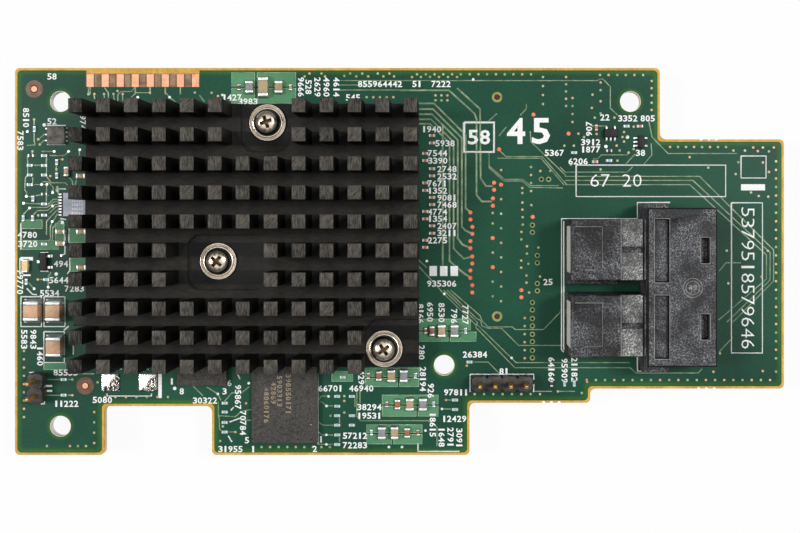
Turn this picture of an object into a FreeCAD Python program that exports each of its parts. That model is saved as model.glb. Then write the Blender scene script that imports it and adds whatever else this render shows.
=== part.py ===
import FreeCAD, Part
import math
import os

# Storage controller card: a green circuit board with a pin-fin heat sink, a dual
# cable port, pin headers and a stacking connector on the underside.
# Frame: the origin is the axis of the top-left mounting hole at the board's
# underside, +X runs to the port mouths, +Z is the component side. Millimetres.

V = FreeCAD.Vector

# board
BOARD_T = 1.57
TOP = BOARD_T
BOARD_OUTLINE = [                     # x, y, corner radius
    (-7.67, 5.66, 0.8), (101.25, 5.66, 0.8), (101.25, -6.4, 1.1), (122.2, -6.4, 0.8),
    (122.2, -48.5, 0.8), (89.5, -48.5, 0.9), (89.5, -50.9, 0.8), (69.1, -50.9, 1.0),
    (69.1, -59.7, 0.8), (25.6, -59.7, 0.8), (25.6, -51.45, 1.0), (7.4, -51.45, 1.0),
    (7.4, -59.7, 0.8), (-7.67, -59.7, 0.8)]
HOLE_D = 3.4
HOLES = [(0, 0), (0, -54.85), (64.8, -44.56), (96.27, 0)]
TAB_CUTS = [(109.65, -6.4), (109.2, -48.5), (82.95, -50.9)]   # left-over break tabs
TAB_CUT_D = 0.6
TAB_CUT_PITCH = 1.3

# heat sink
SINK_X0, SINK_X1 = 5.97, 60.68
SINK_Y0, SINK_Y1 = -44.15, -0.91
SINK_STAND = 3.3                      # board top to base
SINK_BASE_T = 2.2
PIN_W, PIN_D = 2.12, 2.19
PIN_H = 8.9
PIN_COLS, PIN_ROWS = 13, 10
POCKET_DEPTH = 0.6
POCKET_R = 1.9
# pocket x0, x1, y0, y1; a value past the base edge leaves the pocket open there
POCKETS = [(31.48, 39.53, -8.85, 0.9), (22.73, 35.1, -31.52, -22.43), (51.94, 62.6, -46.1, -36.3)]
CLEARED_PINS = [(range(7, 9), range(1, 3)), (range(5, 8), range(6, 8)), (range(12, 14), range(9, 11))]
FOOT_W = 5.0

# heat sink screws
SCREWS = [(35.8, -4.0), (27.7, -26.8), (55.0, -41.2)]
SCREW_D = 2.5
SCREW_CLEARANCE = 0.2                 # on radius, screw to sink and board
WASHER_CLEARANCE = 0.1                # on radius, screw to washer
THREAD_CLEARANCE = 0.05               # on radius, screw to nut
HEAD_D, HEAD_H = 4.2, 1.7
WASHER_D, WASHER_T = 6.0, 0.5
NUT_AF, NUT_H = 5.0, 2.0
SCREW_PROUD = 0.6                     # past the nut

# controller package under the heat sink
PACKAGE_X, PACKAGE_Y, PACKAGE_W = 45.0, -22.8, 27.0
BALL_H = 0.4
SUBSTRATE_T = 1.2
LID_W, LID_T = 23.0, 1.3

# port block
PORT_PITCH = 12.3
PORT_YS = [-24.8, -24.8 - PORT_PITCH]
SHELL_X0 = 97.6
COLLAR_L, HOOD_L = 4.2, 7.06
HOOD_X0 = SHELL_X0 + COLLAR_L
SHELL_X1 = HOOD_X0 + HOOD_L
SHELL_Y0, SHELL_Y1 = -43.7, -18.05
SHELL_H = 9.5
WING_Y0, WING_Y1, WING_H = -45.15, -17.4, 5.5
CAVITY_W, CAVITY_Z0, CAVITY_Z1 = 10.2, 1.2, 8.1
CAVITY_X0 = SHELL_X0 + 2.0
WINDOW_L, WINDOW_INSET = 1.53, 1.16          # latch window, from the mouth
RECESS_L, RECESS_INSET = 2.47, 1.13          # collar recess, from the collar's back
NOSE_W, NOSE_Z0, NOSE_Z1 = 8.8, 2.2, 7.1
NOSE_X1 = SHELL_X1 - 4.66
NOSE_CLEARANCE = 0.05
INSERT_L, INSERT_W, INSERT_H = 12.3, 9.94, 9.0
INSERT_X0 = SHELL_X0 - INSERT_L
STEP_L = 4.16                                # lower rear step of the insert, next to the collar
RECESS_BACK_L = 4.5                          # shallow recess near the insert's rear
CONTACTS, CONTACT_PITCH, CONTACT_W = 9, 0.75, 0.32

# pin headers
HEADER_PITCH = 2.54
HEADER_PIN = 0.64
HEADER_BODY_H = 2.5
HEADER_TIP = 6.1
HEADER_TAIL = 1.5
HEADER_HOLE_D = 1.0
SENSE_PINS = [(-3.51, -46.93), (-3.51, -49.47)]
JUMPER_PINS = [(70.74 + i * HEADER_PITCH, -47.37) for i in range(4)]

# contact strip at the top left edge
EDGE_X0, EDGE_Y = 5.03, 3.53
EDGE_CONTACTS = 8

# stacking connector on the underside
STACK_X, STACK_Y0, STACK_Y1 = 73.76, -38.2, 2.6
STACK_W, STACK_H = 7.0, 5.0
STACK_PEGS = [(73.76, 0.73), (73.76, -36.3)]
PEG_D, PEG_CLEARANCE = 0.9, 0.05
SLOT_W, SLOT_DEPTH = 4.4, 4.0
STACK_CONTACTS, STACK_PITCH = 26, 1.27


def box(x0, x1, y0, y1, z0, z1):
    return Part.makeBox(x1 - x0, y1 - y0, z1 - z0, V(x0, y0, z0))


def block(x, y, w, d, z0, z1):
    """Box centred on x, y; w along X and d along Y."""
    return box(x - w / 2, x + w / 2, y - d / 2, y + d / 2, z0, z1)


def disc(x, y, d, z0, z1):
    return Part.makeCylinder(d / 2, z1 - z0, V(x, y, z0))


def many_sided(x, y, d, sides, z0, z1):
    """Prism with a flat on each side; d is across the flats."""
    r = d / 2 / math.cos(math.pi / sides)
    turn = math.pi / sides
    points = [V(x + r * math.cos(turn + 2 * math.pi * i / sides),
                y + r * math.sin(turn + 2 * math.pi * i / sides), z0) for i in range(sides)]
    return Part.Face(Part.makePolygon(points + points[:1])).extrude(V(0, 0, z1 - z0))


def group(solids):
    return Part.makeCompound(solids)


def rounded_prism(points, z0, z1):
    """Prism on a closed outline of (x, y, corner radius)."""
    edges = []
    ends = []
    count = len(points)
    for i, (x, y, r) in enumerate(points):
        corner = V(x, y, z0)
        back = (V(points[i - 1][0], points[i - 1][1], z0) - corner).normalize()
        ahead = points[(i + 1) % count]
        front = (V(ahead[0], ahead[1], z0) - corner).normalize()
        half = back.getAngle(front) / 2
        start = corner + back * (r / math.tan(half))
        finish = corner + front * (r / math.tan(half))
        axis = (back + front).normalize()
        middle = corner + axis * (r / math.sin(half) - r)
        ends.append((start, finish))
        edges.append(Part.Arc(start, middle, finish).toShape())
    sides = [Part.makeLine(ends[i - 1][1], ends[i][0]) for i in range(count)]
    loop = [edge for pair in zip(sides, edges) for edge in pair]
    return Part.Face(Part.Wire(loop)).extrude(V(0, 0, z1 - z0))


def rounded_block(x0, x1, y0, y1, r, z0, z1):
    return rounded_prism([(x0, y1, r), (x1, y1, r), (x1, y0, r), (x0, y0, r)], z0, z1)


def chamfer_top(shape, size):
    """Chamfer the straight edges that lie in the top plane."""
    z = shape.BoundBox.ZMax
    edges = [e for e in shape.Edges if min(v.Z for v in e.Vertexes) > z - 1e-4]
    return shape.makeChamfer(size, edges)


def chamfer_bottom(shape, size):
    z = shape.BoundBox.ZMin
    edges = [e for e in shape.Edges if max(v.Z for v in e.Vertexes) < z + 1e-4]
    return shape.makeChamfer(size, edges)


def circuit_board():
    board = rounded_prism(BOARD_OUTLINE, 0, BOARD_T)
    cuts = [disc(x, y, HOLE_D, -1, BOARD_T + 1) for x, y in HOLES]
    cuts += [disc(x, y, SCREW_D + 2 * SCREW_CLEARANCE, -1, BOARD_T + 1) for x, y in SCREWS]
    cuts += [many_sided(x, y, HEADER_HOLE_D, 8, -1, BOARD_T + 1) for x, y in SENSE_PINS + JUMPER_PINS]
    cuts += [disc(x, y, PEG_D + 2 * PEG_CLEARANCE, -1, BOARD_T + 1) for x, y in STACK_PEGS]
    for x, y in TAB_CUTS:
        for step in (-1, 0, 1):
            cuts.append(many_sided(x + step * TAB_CUT_PITCH, y, TAB_CUT_D, 8, -1, BOARD_T + 1))
    return board.cut(cuts)


def heat_sink():
    """Base, pin grid, screw pockets and feet, cut from one block."""
    z0 = TOP + SINK_STAND
    z1 = z0 + SINK_BASE_T
    cleared = {(c, r) for cols, rows in CLEARED_PINS for c in cols for r in rows}
    step_x = (SINK_X1 - SINK_X0 - PIN_W) / (PIN_COLS - 1)
    step_y = (SINK_Y1 - SINK_Y0 - PIN_D) / (PIN_ROWS - 1)
    pins = []
    for col in range(PIN_COLS):
        for row in range(PIN_ROWS):
            if (col + 1, row + 1) in cleared:
                continue
            x = SINK_X0 + col * step_x
            y = SINK_Y1 - row * step_y - PIN_D
            pins.append(box(x, x + PIN_W, y, y + PIN_D, z1 - 0.5, z1 + PIN_H))
    feet = [block(x, y, FOOT_W, FOOT_W, TOP, z0 + 0.5) for x, y in SCREWS]
    sink = box(SINK_X0, SINK_X1, SINK_Y0, SINK_Y1, z0, z1)
    floor = z1 - POCKET_DEPTH
    sink = sink.cut([rounded_block(*p, POCKET_R, floor, z1 + 1) for p in POCKETS])
    sink = sink.fuse(pins + feet).removeSplitter()
    return sink.cut([disc(x, y, SCREW_D + 2 * SCREW_CLEARANCE, TOP - 1, z1) for x, y in SCREWS])


def seat_z():
    return TOP + SINK_STAND + SINK_BASE_T - POCKET_DEPTH


def heat_sink_screws():
    """Pan head screws with a cross recess."""
    z0 = seat_z() + WASHER_T
    out = []
    for x, y in SCREWS:
        r = HEAD_D / 2
        rim, crown = HEAD_H * 0.45, HEAD_D * 0.28
        head = Part.makeCylinder(r, rim).fuse(Part.makeCone(r, crown, HEAD_H - rim, V(0, 0, rim)))
        recess = block(0, 0, 2.3, 0.5, HEAD_H - 0.7, HEAD_H + 1).fuse(
            block(0, 0, 0.5, 2.3, HEAD_H - 0.7, HEAD_H + 1))
        recess.rotate(V(0, 0, 0), V(0, 0, 1), 35)
        head = head.cut(recess)
        head.translate(V(x, y, z0))
        shank = disc(x, y, SCREW_D, -NUT_H - SCREW_PROUD, z0 + 0.2)
        out.append(head.fuse(shank).removeSplitter())
    return group(out)


def heat_sink_washers():
    z = seat_z()
    bore = SCREW_D + 2 * WASHER_CLEARANCE
    return group([disc(x, y, WASHER_D, z, z + WASHER_T).cut(disc(x, y, bore, z - 1, z + 2))
                  for x, y in SCREWS])


def heat_sink_nuts():
    bore = SCREW_D + 2 * THREAD_CLEARANCE
    return group([many_sided(x, y, NUT_AF, 6, -NUT_H, 0).cut(disc(x, y, bore, -NUT_H - 1, 1))
                  for x, y in SCREWS])


def joint_field(x, y, w, d, z0, z1):
    """Block of solder joints under a ball grid package, set in from its edge."""
    return block(x, y, w - 1.2, d - 1.2, z0, z1)


def moulded(x, y, w, d, z0, z1, dot=None):
    """Moulded package with a thin chamfer and an optional round corner mark."""
    body = chamfer_top(block(x, y, w, d, z0, z1), 0.08)
    if dot:
        body = body.cut(many_sided(x + dot[0], y + dot[1], 0.7, 8, z1 - 0.06, z1 + 1))
    return body


FLASH = (38.01, -51.0, 11.1, 13.0)            # x, y, w, d
NVRAM = (24.1, -42.4, 8.4, 11.0)
MEMORY_X, MEMORY_YS = 14.0, [-2.0 - 10.6 * i for i in range(5)]
MEMORY_SIZE = (12.5, 8.5)
BUFFER = (2.7, -17.42, 4.4, 4.36)
SENSE_CHIP = (-0.55, -5.76, 3.0, 3.0)
TRANSISTOR = (-2.65, -27.05, 1.2, 2.96)
GATE_CHIP = (92.9, -5.4, 2.2, 1.4)
LEVEL_CHIP = (98.0, -6.85, 1.15, 2.05)
REGULATOR = (4.2, -36.95, 3.2, 1.7)


def leads(x, y, out, reach, width, h):
    """One gull-wing lead; x, y on the body wall, out the unit step away from it."""
    t = 0.12
    profile = [(0, h - t), (reach * 0.5, h - t), (reach * 0.5, 0), (reach, 0), (reach, t),
               (reach * 0.5 + t, t), (reach * 0.5 + t, h), (0, h), (0, h - t)]
    ox, oy = out
    points = [V(x + a * ox - oy * width / 2, y + a * oy - ox * width / 2, TOP + b) for a, b in profile]
    return Part.Face(Part.makePolygon(points)).extrude(V(abs(oy) * oy * width, abs(ox) * ox * width, 0))


def package_leads():
    out = []
    x, y, w, d = BUFFER
    for i in range(8):
        ly = y + (i - 3.5) * 0.5
        out.append(leads(x - w / 2, ly, (-1, 0), 0.9, 0.22, 0.6))
        out.append(leads(x + w / 2, ly, (1, 0), 0.9, 0.22, 0.6))
    x, y, w, d = TRANSISTOR
    out.append(leads(x - w / 2, y, (-1, 0), 0.75, 0.45, 0.55))
    out += [leads(x + w / 2, y + s, (1, 0), 0.75, 0.45, 0.55) for s in (-0.95, 0.95)]
    x, y, w, d = GATE_CHIP
    out += [leads(x + s, y + d / 2, (0, 1), 0.6, 0.3, 0.5) for s in (-0.7, 0.7)]
    out += [leads(x + s, y - d / 2, (0, -1), 0.6, 0.3, 0.5) for s in (-0.7, 0, 0.7)]
    x, y, w, d = LEVEL_CHIP
    out += [leads(x - w / 2, y + s, (-1, 0), 0.6, 0.28, 0.5) for s in (-0.65, 0, 0.65)]
    out += [leads(x + w / 2, y + s, (1, 0), 0.6, 0.28, 0.5) for s in (-0.65, 0.65)]
    return group(out)


def status_led():
    base = block(-5.8, -27.75, 1.0, 2.05, TOP, TOP + 0.4)
    lens = chamfer_top(block(-5.8, -27.75, 0.9, 1.3, TOP + 0.3, TOP + 0.85), 0.12)
    return base.fuse(lens)


# two-ended parts: length, width, height, end length
SIZE_TINY = (1.0, 0.5, 0.35, 0.25)
SIZE_SMALL = (1.6, 0.85, 0.8, 0.35)
SIZE_MEDIUM = (2.0, 1.25, 1.0, 0.45)
SIZE_LONG = (3.2, 1.6, 1.3, 0.55)
SIZE_POWER = (3.2, 2.5, 2.5, 0.55)

OUTPUT_CAPACITORS = [(-4.25, -35.3), (-0.58, -35.3), (-0.48, -41.25)]

# filter rows: parts in order with their x places, and the row's y
FILTER_ROWS = [
    (2.38, [(30.21, SIZE_TINY), (32.01, SIZE_MEDIUM), (34.39, SIZE_LONG), (36.96, SIZE_MEDIUM),
            (38.9, SIZE_TINY)]),
    (-38.73, [(61.6, SIZE_TINY), (62.75, SIZE_SMALL), (64.41, SIZE_MEDIUM), (66.58, SIZE_MEDIUM),
              (68.44, SIZE_TINY)]),
    (-46.31, [(52.02, SIZE_TINY), (53.84, SIZE_SMALL), (55.94, SIZE_MEDIUM), (58.04, SIZE_MEDIUM),
              (59.96, SIZE_TINY)]),
    (-51.11, [(55.15, SIZE_TINY), (56.95, SIZE_SMALL), (59.05, SIZE_MEDIUM), (61.25, SIZE_MEDIUM),
              (63.05, SIZE_TINY)]),
    (-55.89, [(52.53, SIZE_TINY), (54.34, SIZE_MEDIUM), (56.49, SIZE_MEDIUM), (58.6, SIZE_SMALL),
              (60.41, SIZE_TINY)])]

SMALL_CAPACITORS = [(1.17, -11.84, 'y'), (3.62, -12.61, 'x'), (0.17, -22.02, 'x'), (0.17, -23.98, 'x'),
                    (3.71, -22.02, 'x'), (3.74, -28.03, 'x')]

COUPLING_CAPACITORS = [
    (62.75, -5.77), (62.75, -7.02), (62.75, -11.37), (62.75, -12.57), (62.75, -16.21), (62.75, -17.41),
    (62.75, -21.01), (62.75, -22.25), (61.6, -8.79), (61.6, -9.99), (61.6, -13.75), (61.6, -15.03),
    (61.6, -18.57), (61.6, -19.83), (61.6, -23.43), (61.6, -24.64)]

RESISTORS_LEFT_X = [
    (-4.92, -9.16), (-2.66, -9.16), (-5.09, -10.81), (-2.66, -10.81), (-5.09, -12.43), (-2.66, -12.43),
    (-5.09, -14.08), (-2.66, -15.65), (-2.66, -17.31), (-2.66, -19.21), (-2.66, -24.08), (-2.3, -30.07),
    (0.63, -46.92), (0.63, -49.56)]
RESISTORS_LEFT_Y = [(-4.31, -4.69), (-0.55, -10.27), (-0.55, -12.53), (-4.55, -16.41), (-6.2, -19.73),
                    (-4.61, -19.73), (-5.69, -30.44)]
RESISTORS_LOW = [
    (27.8, -50.91), (27.8, -52.41), (27.8, -54.17), (27.8, -55.79), (46.77, -49.77), (46.77, -51.43),
    (46.77, -53.02), (46.77, -54.62), (46.77, -56.27), (46.77, -57.89), (49.25, -49.77),
    (49.25, -53.02), (49.25, -54.62), (47.71, -46.54), (66.65, -50.39), (66.65, -51.99)]
RESISTORS_RIGHT_X = [(86.73, -8.65), (95.58, -4.19), (97.88, -4.19), (90.29, -10.19), (92.67, -9.99),
                     (92.67, -8.32), (69.09, -43.98)]
RESISTORS_RIGHT_Y = [(90.49, -4.44), (82.94, -48.53 + 0.9), (85.13, -48.5 + 0.9), (86.78, -48.5 + 0.9)]


def tiny(x, y, along):
    length, width, height, _ = SIZE_TINY
    size = (length, width) if along == 'x' else (width, length)
    return block(x, y, size[0], size[1], TOP, TOP + height)


def tiny_group(along_x, along_y=()):
    return group([tiny(x, y, 'x') for x, y in along_x] + [tiny(x, y, 'y') for x, y in along_y])


def two_ended(x, y, size, along='y'):
    """Body and its two metal ends, which stand slightly proud of the body."""
    length, width, height, end = size
    lip = 0.03 if size != SIZE_POWER else 0.05
    body = block(x, y, width - 2 * lip, length - 2 * end, TOP + lip, TOP + height - lip)
    offset = (length - end) / 2
    ends = [block(x, y + s * offset, width, end, TOP, TOP + height) for s in (-1, 1)]
    if size in (SIZE_POWER, SIZE_LONG):
        ends = [chamfer_top(e, 0.12) for e in ends]
    parts = [body] + ends
    if along == 'x':
        for p in parts:
            p.rotate(V(x, y, 0), V(0, 0, 1), 90)
    return parts


def filter_parts():
    return [two_ended(x, y, size) for y, row in FILTER_ROWS for x, size in row]


def small_parts():
    return [two_ended(x, y, SIZE_SMALL, along) for x, y, along in SMALL_CAPACITORS]


def output_parts():
    return [two_ended(x, y, SIZE_POWER) for x, y in OUTPUT_CAPACITORS]


def bodies(parts):
    return group([p[0] for p in parts])


def ends(parts):
    return group([s for p in parts for s in p[1:]])


def port_shell():
    """One moulded shell: collar with wings, hood and the two plug cavities."""
    shell = box(SHELL_X0, SHELL_X1, SHELL_Y0, SHELL_Y1, TOP, TOP + SHELL_H)
    shell = chamfer_top(shell, 0.25)
    wings = chamfer_top(box(SHELL_X0, HOOD_X0, WING_Y0, WING_Y1, TOP, TOP + WING_H), 0.3)
    shell = shell.fuse(wings)
    cuts = []
    for z in (1.6, 3.4):
        cuts.append(box(SHELL_X0 - 1, SHELL_X0 + 0.35, WING_Y0 - 1, WING_Y1 + 1, TOP + z, TOP + z + 0.7))
    for y in PORT_YS:
        a, b = y - CAVITY_W / 2, y + CAVITY_W / 2
        z0, z1 = TOP + CAVITY_Z0, TOP + CAVITY_Z1
        cuts.append(box(CAVITY_X0, SHELL_X1 + 1, a, b, z0, z1))
        cuts.append(mouth_bevel(a, b, z0, z1))
        cuts.append(box(SHELL_X0 - 1, CAVITY_X0 + 1, y - NOSE_W / 2 - NOSE_CLEARANCE,
                        y + NOSE_W / 2 + NOSE_CLEARANCE, TOP + NOSE_Z0 - NOSE_CLEARANCE,
                        TOP + NOSE_Z1 + NOSE_CLEARANCE))
        # latch window and collar recess
        back = SHELL_X1 - WINDOW_INSET - WINDOW_L
        cuts.append(rounded_block(back, back + WINDOW_L, y - 2.25, y + 2.0, 0.3, z1 - 0.5,
                                  TOP + SHELL_H + 1))
        back = SHELL_X0 + RECESS_INSET
        cuts.append(rounded_block(back, back + RECESS_L, y - 5.35, y + 5.0, 0.25,
                                  TOP + SHELL_H - 0.8, TOP + SHELL_H + 1))
        # keying groove in the cavity roof
        cuts.append(box(CAVITY_X0 + 2, SHELL_X1 + 1, y + 1.6, y + 3.2, z1 - 0.5, z1 + 0.5))
    return shell.cut(cuts)


def mouth_bevel(a, b, z0, z1):
    s = 0.45
    inner = Part.makePolygon([V(SHELL_X1 - s, a, z0), V(SHELL_X1 - s, b, z0), V(SHELL_X1 - s, b, z1),
                              V(SHELL_X1 - s, a, z1), V(SHELL_X1 - s, a, z0)])
    outer = Part.makePolygon([V(SHELL_X1, a - s, z0 - s), V(SHELL_X1, b + s, z0 - s),
                              V(SHELL_X1, b + s, z1 + s), V(SHELL_X1, a - s, z1 + s),
                              V(SHELL_X1, a - s, z0 - s)])
    return Part.makeLoft([inner, outer], True)


def port_insert(y):
    """Rear block with its ledge and recesses, and the nose in the cavity with two slots."""
    w = INSERT_W / 2
    z = TOP + INSERT_H
    body = chamfer_top(box(INSERT_X0, SHELL_X0, y - w, y + w, TOP, z), 0.15)
    step = SHELL_X0 - STEP_L
    body = body.fuse([box(INSERT_X0, step, y - w - 0.8, y - w + 0.5, TOP, TOP + 4.0),
                      box(SHELL_X0 - 0.5, NOSE_X1, y - NOSE_W / 2, y + NOSE_W / 2, TOP + NOSE_Z0,
                          TOP + NOSE_Z1)])
    cuts = [box(INSERT_X0 - 1, INSERT_X0 + 0.5, y - 3.9, y + 3.8, TOP + 0.4, z - 0.5),
            box(INSERT_X0 + 0.6, INSERT_X0 + 0.6 + RECESS_BACK_L, y - 3.3, y + 3.7, z - 0.3, z + 1),
            box(step, SHELL_X0 - 0.35, y - w - 1, y + w + 1, z - 0.5, z + 1),
            box(step, SHELL_X0 - 0.35, y - 0.5, y + 0.45, z - 1.0, z + 1)]
    for zs in (NOSE_Z0 + 1.0, NOSE_Z0 + 3.0):
        cuts.append(box(NOSE_X1 - 4.0, NOSE_X1 + 1, y - 3.7, y + 3.7, TOP + zs, TOP + zs + 0.9))
    return body.cut(cuts).removeSplitter()


def port_wafer(y):
    """Pale carrier plates showing at the rear of a port."""
    x = INSERT_X0 + 0.2
    plates = [box(x, INSERT_X0 + 0.5, y - 3.9, y - 0.06, TOP + 0.4, TOP + INSERT_H - 0.5),
              box(x, INSERT_X0 + 0.5, y - 0.04, y + 3.8, TOP + 0.4, TOP + INSERT_H - 0.5)]
    return plates[0].fuse([plates[1], box(x + 0.1, INSERT_X0 + 0.5, y - 0.1, y + 0.1, TOP + 0.4,
                                          TOP + INSERT_H - 0.5)]).removeSplitter()


def port_contacts(y):
    """Contact strips on the floors of the two slots."""
    out = []
    for zs in (NOSE_Z0 + 1.0, NOSE_Z0 + 3.0):
        for i in range(CONTACTS):
            cy = y + (i - (CONTACTS - 1) / 2) * CONTACT_PITCH
            out.append(box(NOSE_X1 - 3.9, NOSE_X1 - 0.3, cy - CONTACT_W / 2, cy + CONTACT_W / 2,
                           TOP + zs, TOP + zs + 0.12))
    return group(out)


def port_tails():
    """Board-side ends of the port contacts, just proud of the underside."""
    out = []
    for y in PORT_YS:
        for i in range(4):
            for j in range(6):
                out.append(block(INSERT_X0 + 3.1 + i * 2.1, y + (j - 2.5) * 1.5, 0.4, 0.4, -0.55, 0))
    return group(out)


def header_body(pins):
    half = HEADER_PITCH / 2
    nick = 0.45
    out = []
    for x, y in pins:
        ring = [(-half, -half + nick), (-half + nick, -half), (half - nick, -half), (half, -half + nick),
                (half, half - nick), (half - nick, half), (-half + nick, half), (-half, half - nick)]
        points = [V(x + a, y + b, TOP) for a, b in ring]
        out.append(Part.Face(Part.makePolygon(points + points[:1])).extrude(V(0, 0, HEADER_BODY_H)))
    body = out[0].fuse(out[1:]).removeSplitter()
    holes = [block(x, y, HEADER_PIN, HEADER_PIN, TOP - 1, TOP + 9) for x, y in pins]
    return body.cut(holes)


def header_pins(pins):
    out = []
    for x, y in pins:
        pin = block(x, y, HEADER_PIN, HEADER_PIN, -HEADER_TAIL, TOP + HEADER_TIP)
        out.append(chamfer_bottom(chamfer_top(pin, 0.17), 0.17))
    return group(out)


def header_solder():
    out = []
    for x, y in SENSE_PINS + JUMPER_PINS:
        foot = many_sided(x, y, 1.9, 8, -0.7, 0)
        foot = foot.makeChamfer(0.45, [e for e in foot.Edges if max(v.Z for v in e.Vertexes) < -0.6])
        out.append(foot.cut(block(x, y, HEADER_PIN, HEADER_PIN, -2, 1)))
    return group(out)


def solder_lands():
    return group([chamfer_top(block(x, -47.45, 3.1, 3.0, TOP, TOP + 0.3), 0.14) for x in (8.49, 14.79)])


def edge_contacts():
    return group([block(EDGE_X0 + i * HEADER_PITCH, EDGE_Y, 1.2, 2.16, TOP, TOP + 0.05)
                  for i in range(EDGE_CONTACTS)])


def stack_housing():
    """Long socket with a middle tongue and two board pegs."""
    x, y0, y1 = STACK_X, STACK_Y0, STACK_Y1
    w = STACK_W / 2
    r = 0.6
    body = rounded_block(x - w, x + w, y0, y1, r, -STACK_H, 0)
    body = chamfer_bottom(body, 0.25)
    slot = rounded_block(x - SLOT_W / 2, x + SLOT_W / 2, y0 + 1.4, y1 - 1.4, 0.5, -STACK_H - 1,
                         -STACK_H + SLOT_DEPTH)
    body = body.cut([slot])
    tongue = chamfer_bottom(box(x - 0.7, x + 0.7, y0 + 2.6, y1 - 2.6, -STACK_H + 0.5,
                                -STACK_H + SLOT_DEPTH + 0.2), 0.2)
    pegs = [disc(px, py, PEG_D, -0.5, BOARD_T - 0.25) for px, py in STACK_PEGS]
    body = body.fuse([tongue] + pegs).removeSplitter()
    # relief for the contact feet along both long walls
    reliefs = [box(x - w - 1, x - w + 0.35, y0 + 2.3, y1 - 2.3, -0.9, 1),
               box(x + w - 0.35, x + w + 1, y0 + 2.3, y1 - 2.3, -0.9, 1)]
    return body.cut(reliefs)


def stack_contacts():
    out = []
    wall = STACK_W / 2 - 0.35
    middle = (STACK_Y0 + STACK_Y1) / 2
    for i in range(STACK_CONTACTS):
        y = middle + (i - (STACK_CONTACTS - 1) / 2) * STACK_PITCH
        for s in (-1, 1):
            a, b = sorted((STACK_X + s * wall, STACK_X + s * (wall + 0.95)))
            out.append(box(a, b, y - 0.17, y + 0.17, -0.25, 0))
            a, b = sorted((STACK_X + s * 0.7, STACK_X + s * 0.9))
            out.append(box(a, b, y - 0.17, y + 0.17, -STACK_H + 0.9, -STACK_H + SLOT_DEPTH))
    return group(out)


def memory_chips():
    w, d = MEMORY_SIZE
    return group([chamfer_bottom(block(MEMORY_X, y, w, d, -1.2, -0.3), 0.08) for y in MEMORY_YS])


def memory_joints():
    w, d = MEMORY_SIZE
    return group([joint_field(MEMORY_X, y, w, d, -0.3, 0) for y in MEMORY_YS])


def termination_arrays():
    spots = [(23.2, 0.5 - 3.2 * i) for i in range(7)] + [(23.2, -31.0 - 3.2 * i) for i in range(5)]
    return group([block(x, y, 1.6, 2.0, -0.55, 0) for x, y in spots])


def decoupling_capacitors():
    spots = [(PACKAGE_X + (i - 2) * 4.0, PACKAGE_Y + (j - 1.5) * 4.0) for i in range(5) for j in range(4)]
    return group([block(x, y, 1.0, 0.5, -0.5, 0) for x, y in spots])


def package(x, y, w, d, ball_h, top, dot):
    return moulded(x, y, w, d, TOP + ball_h, TOP + top, dot)


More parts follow.
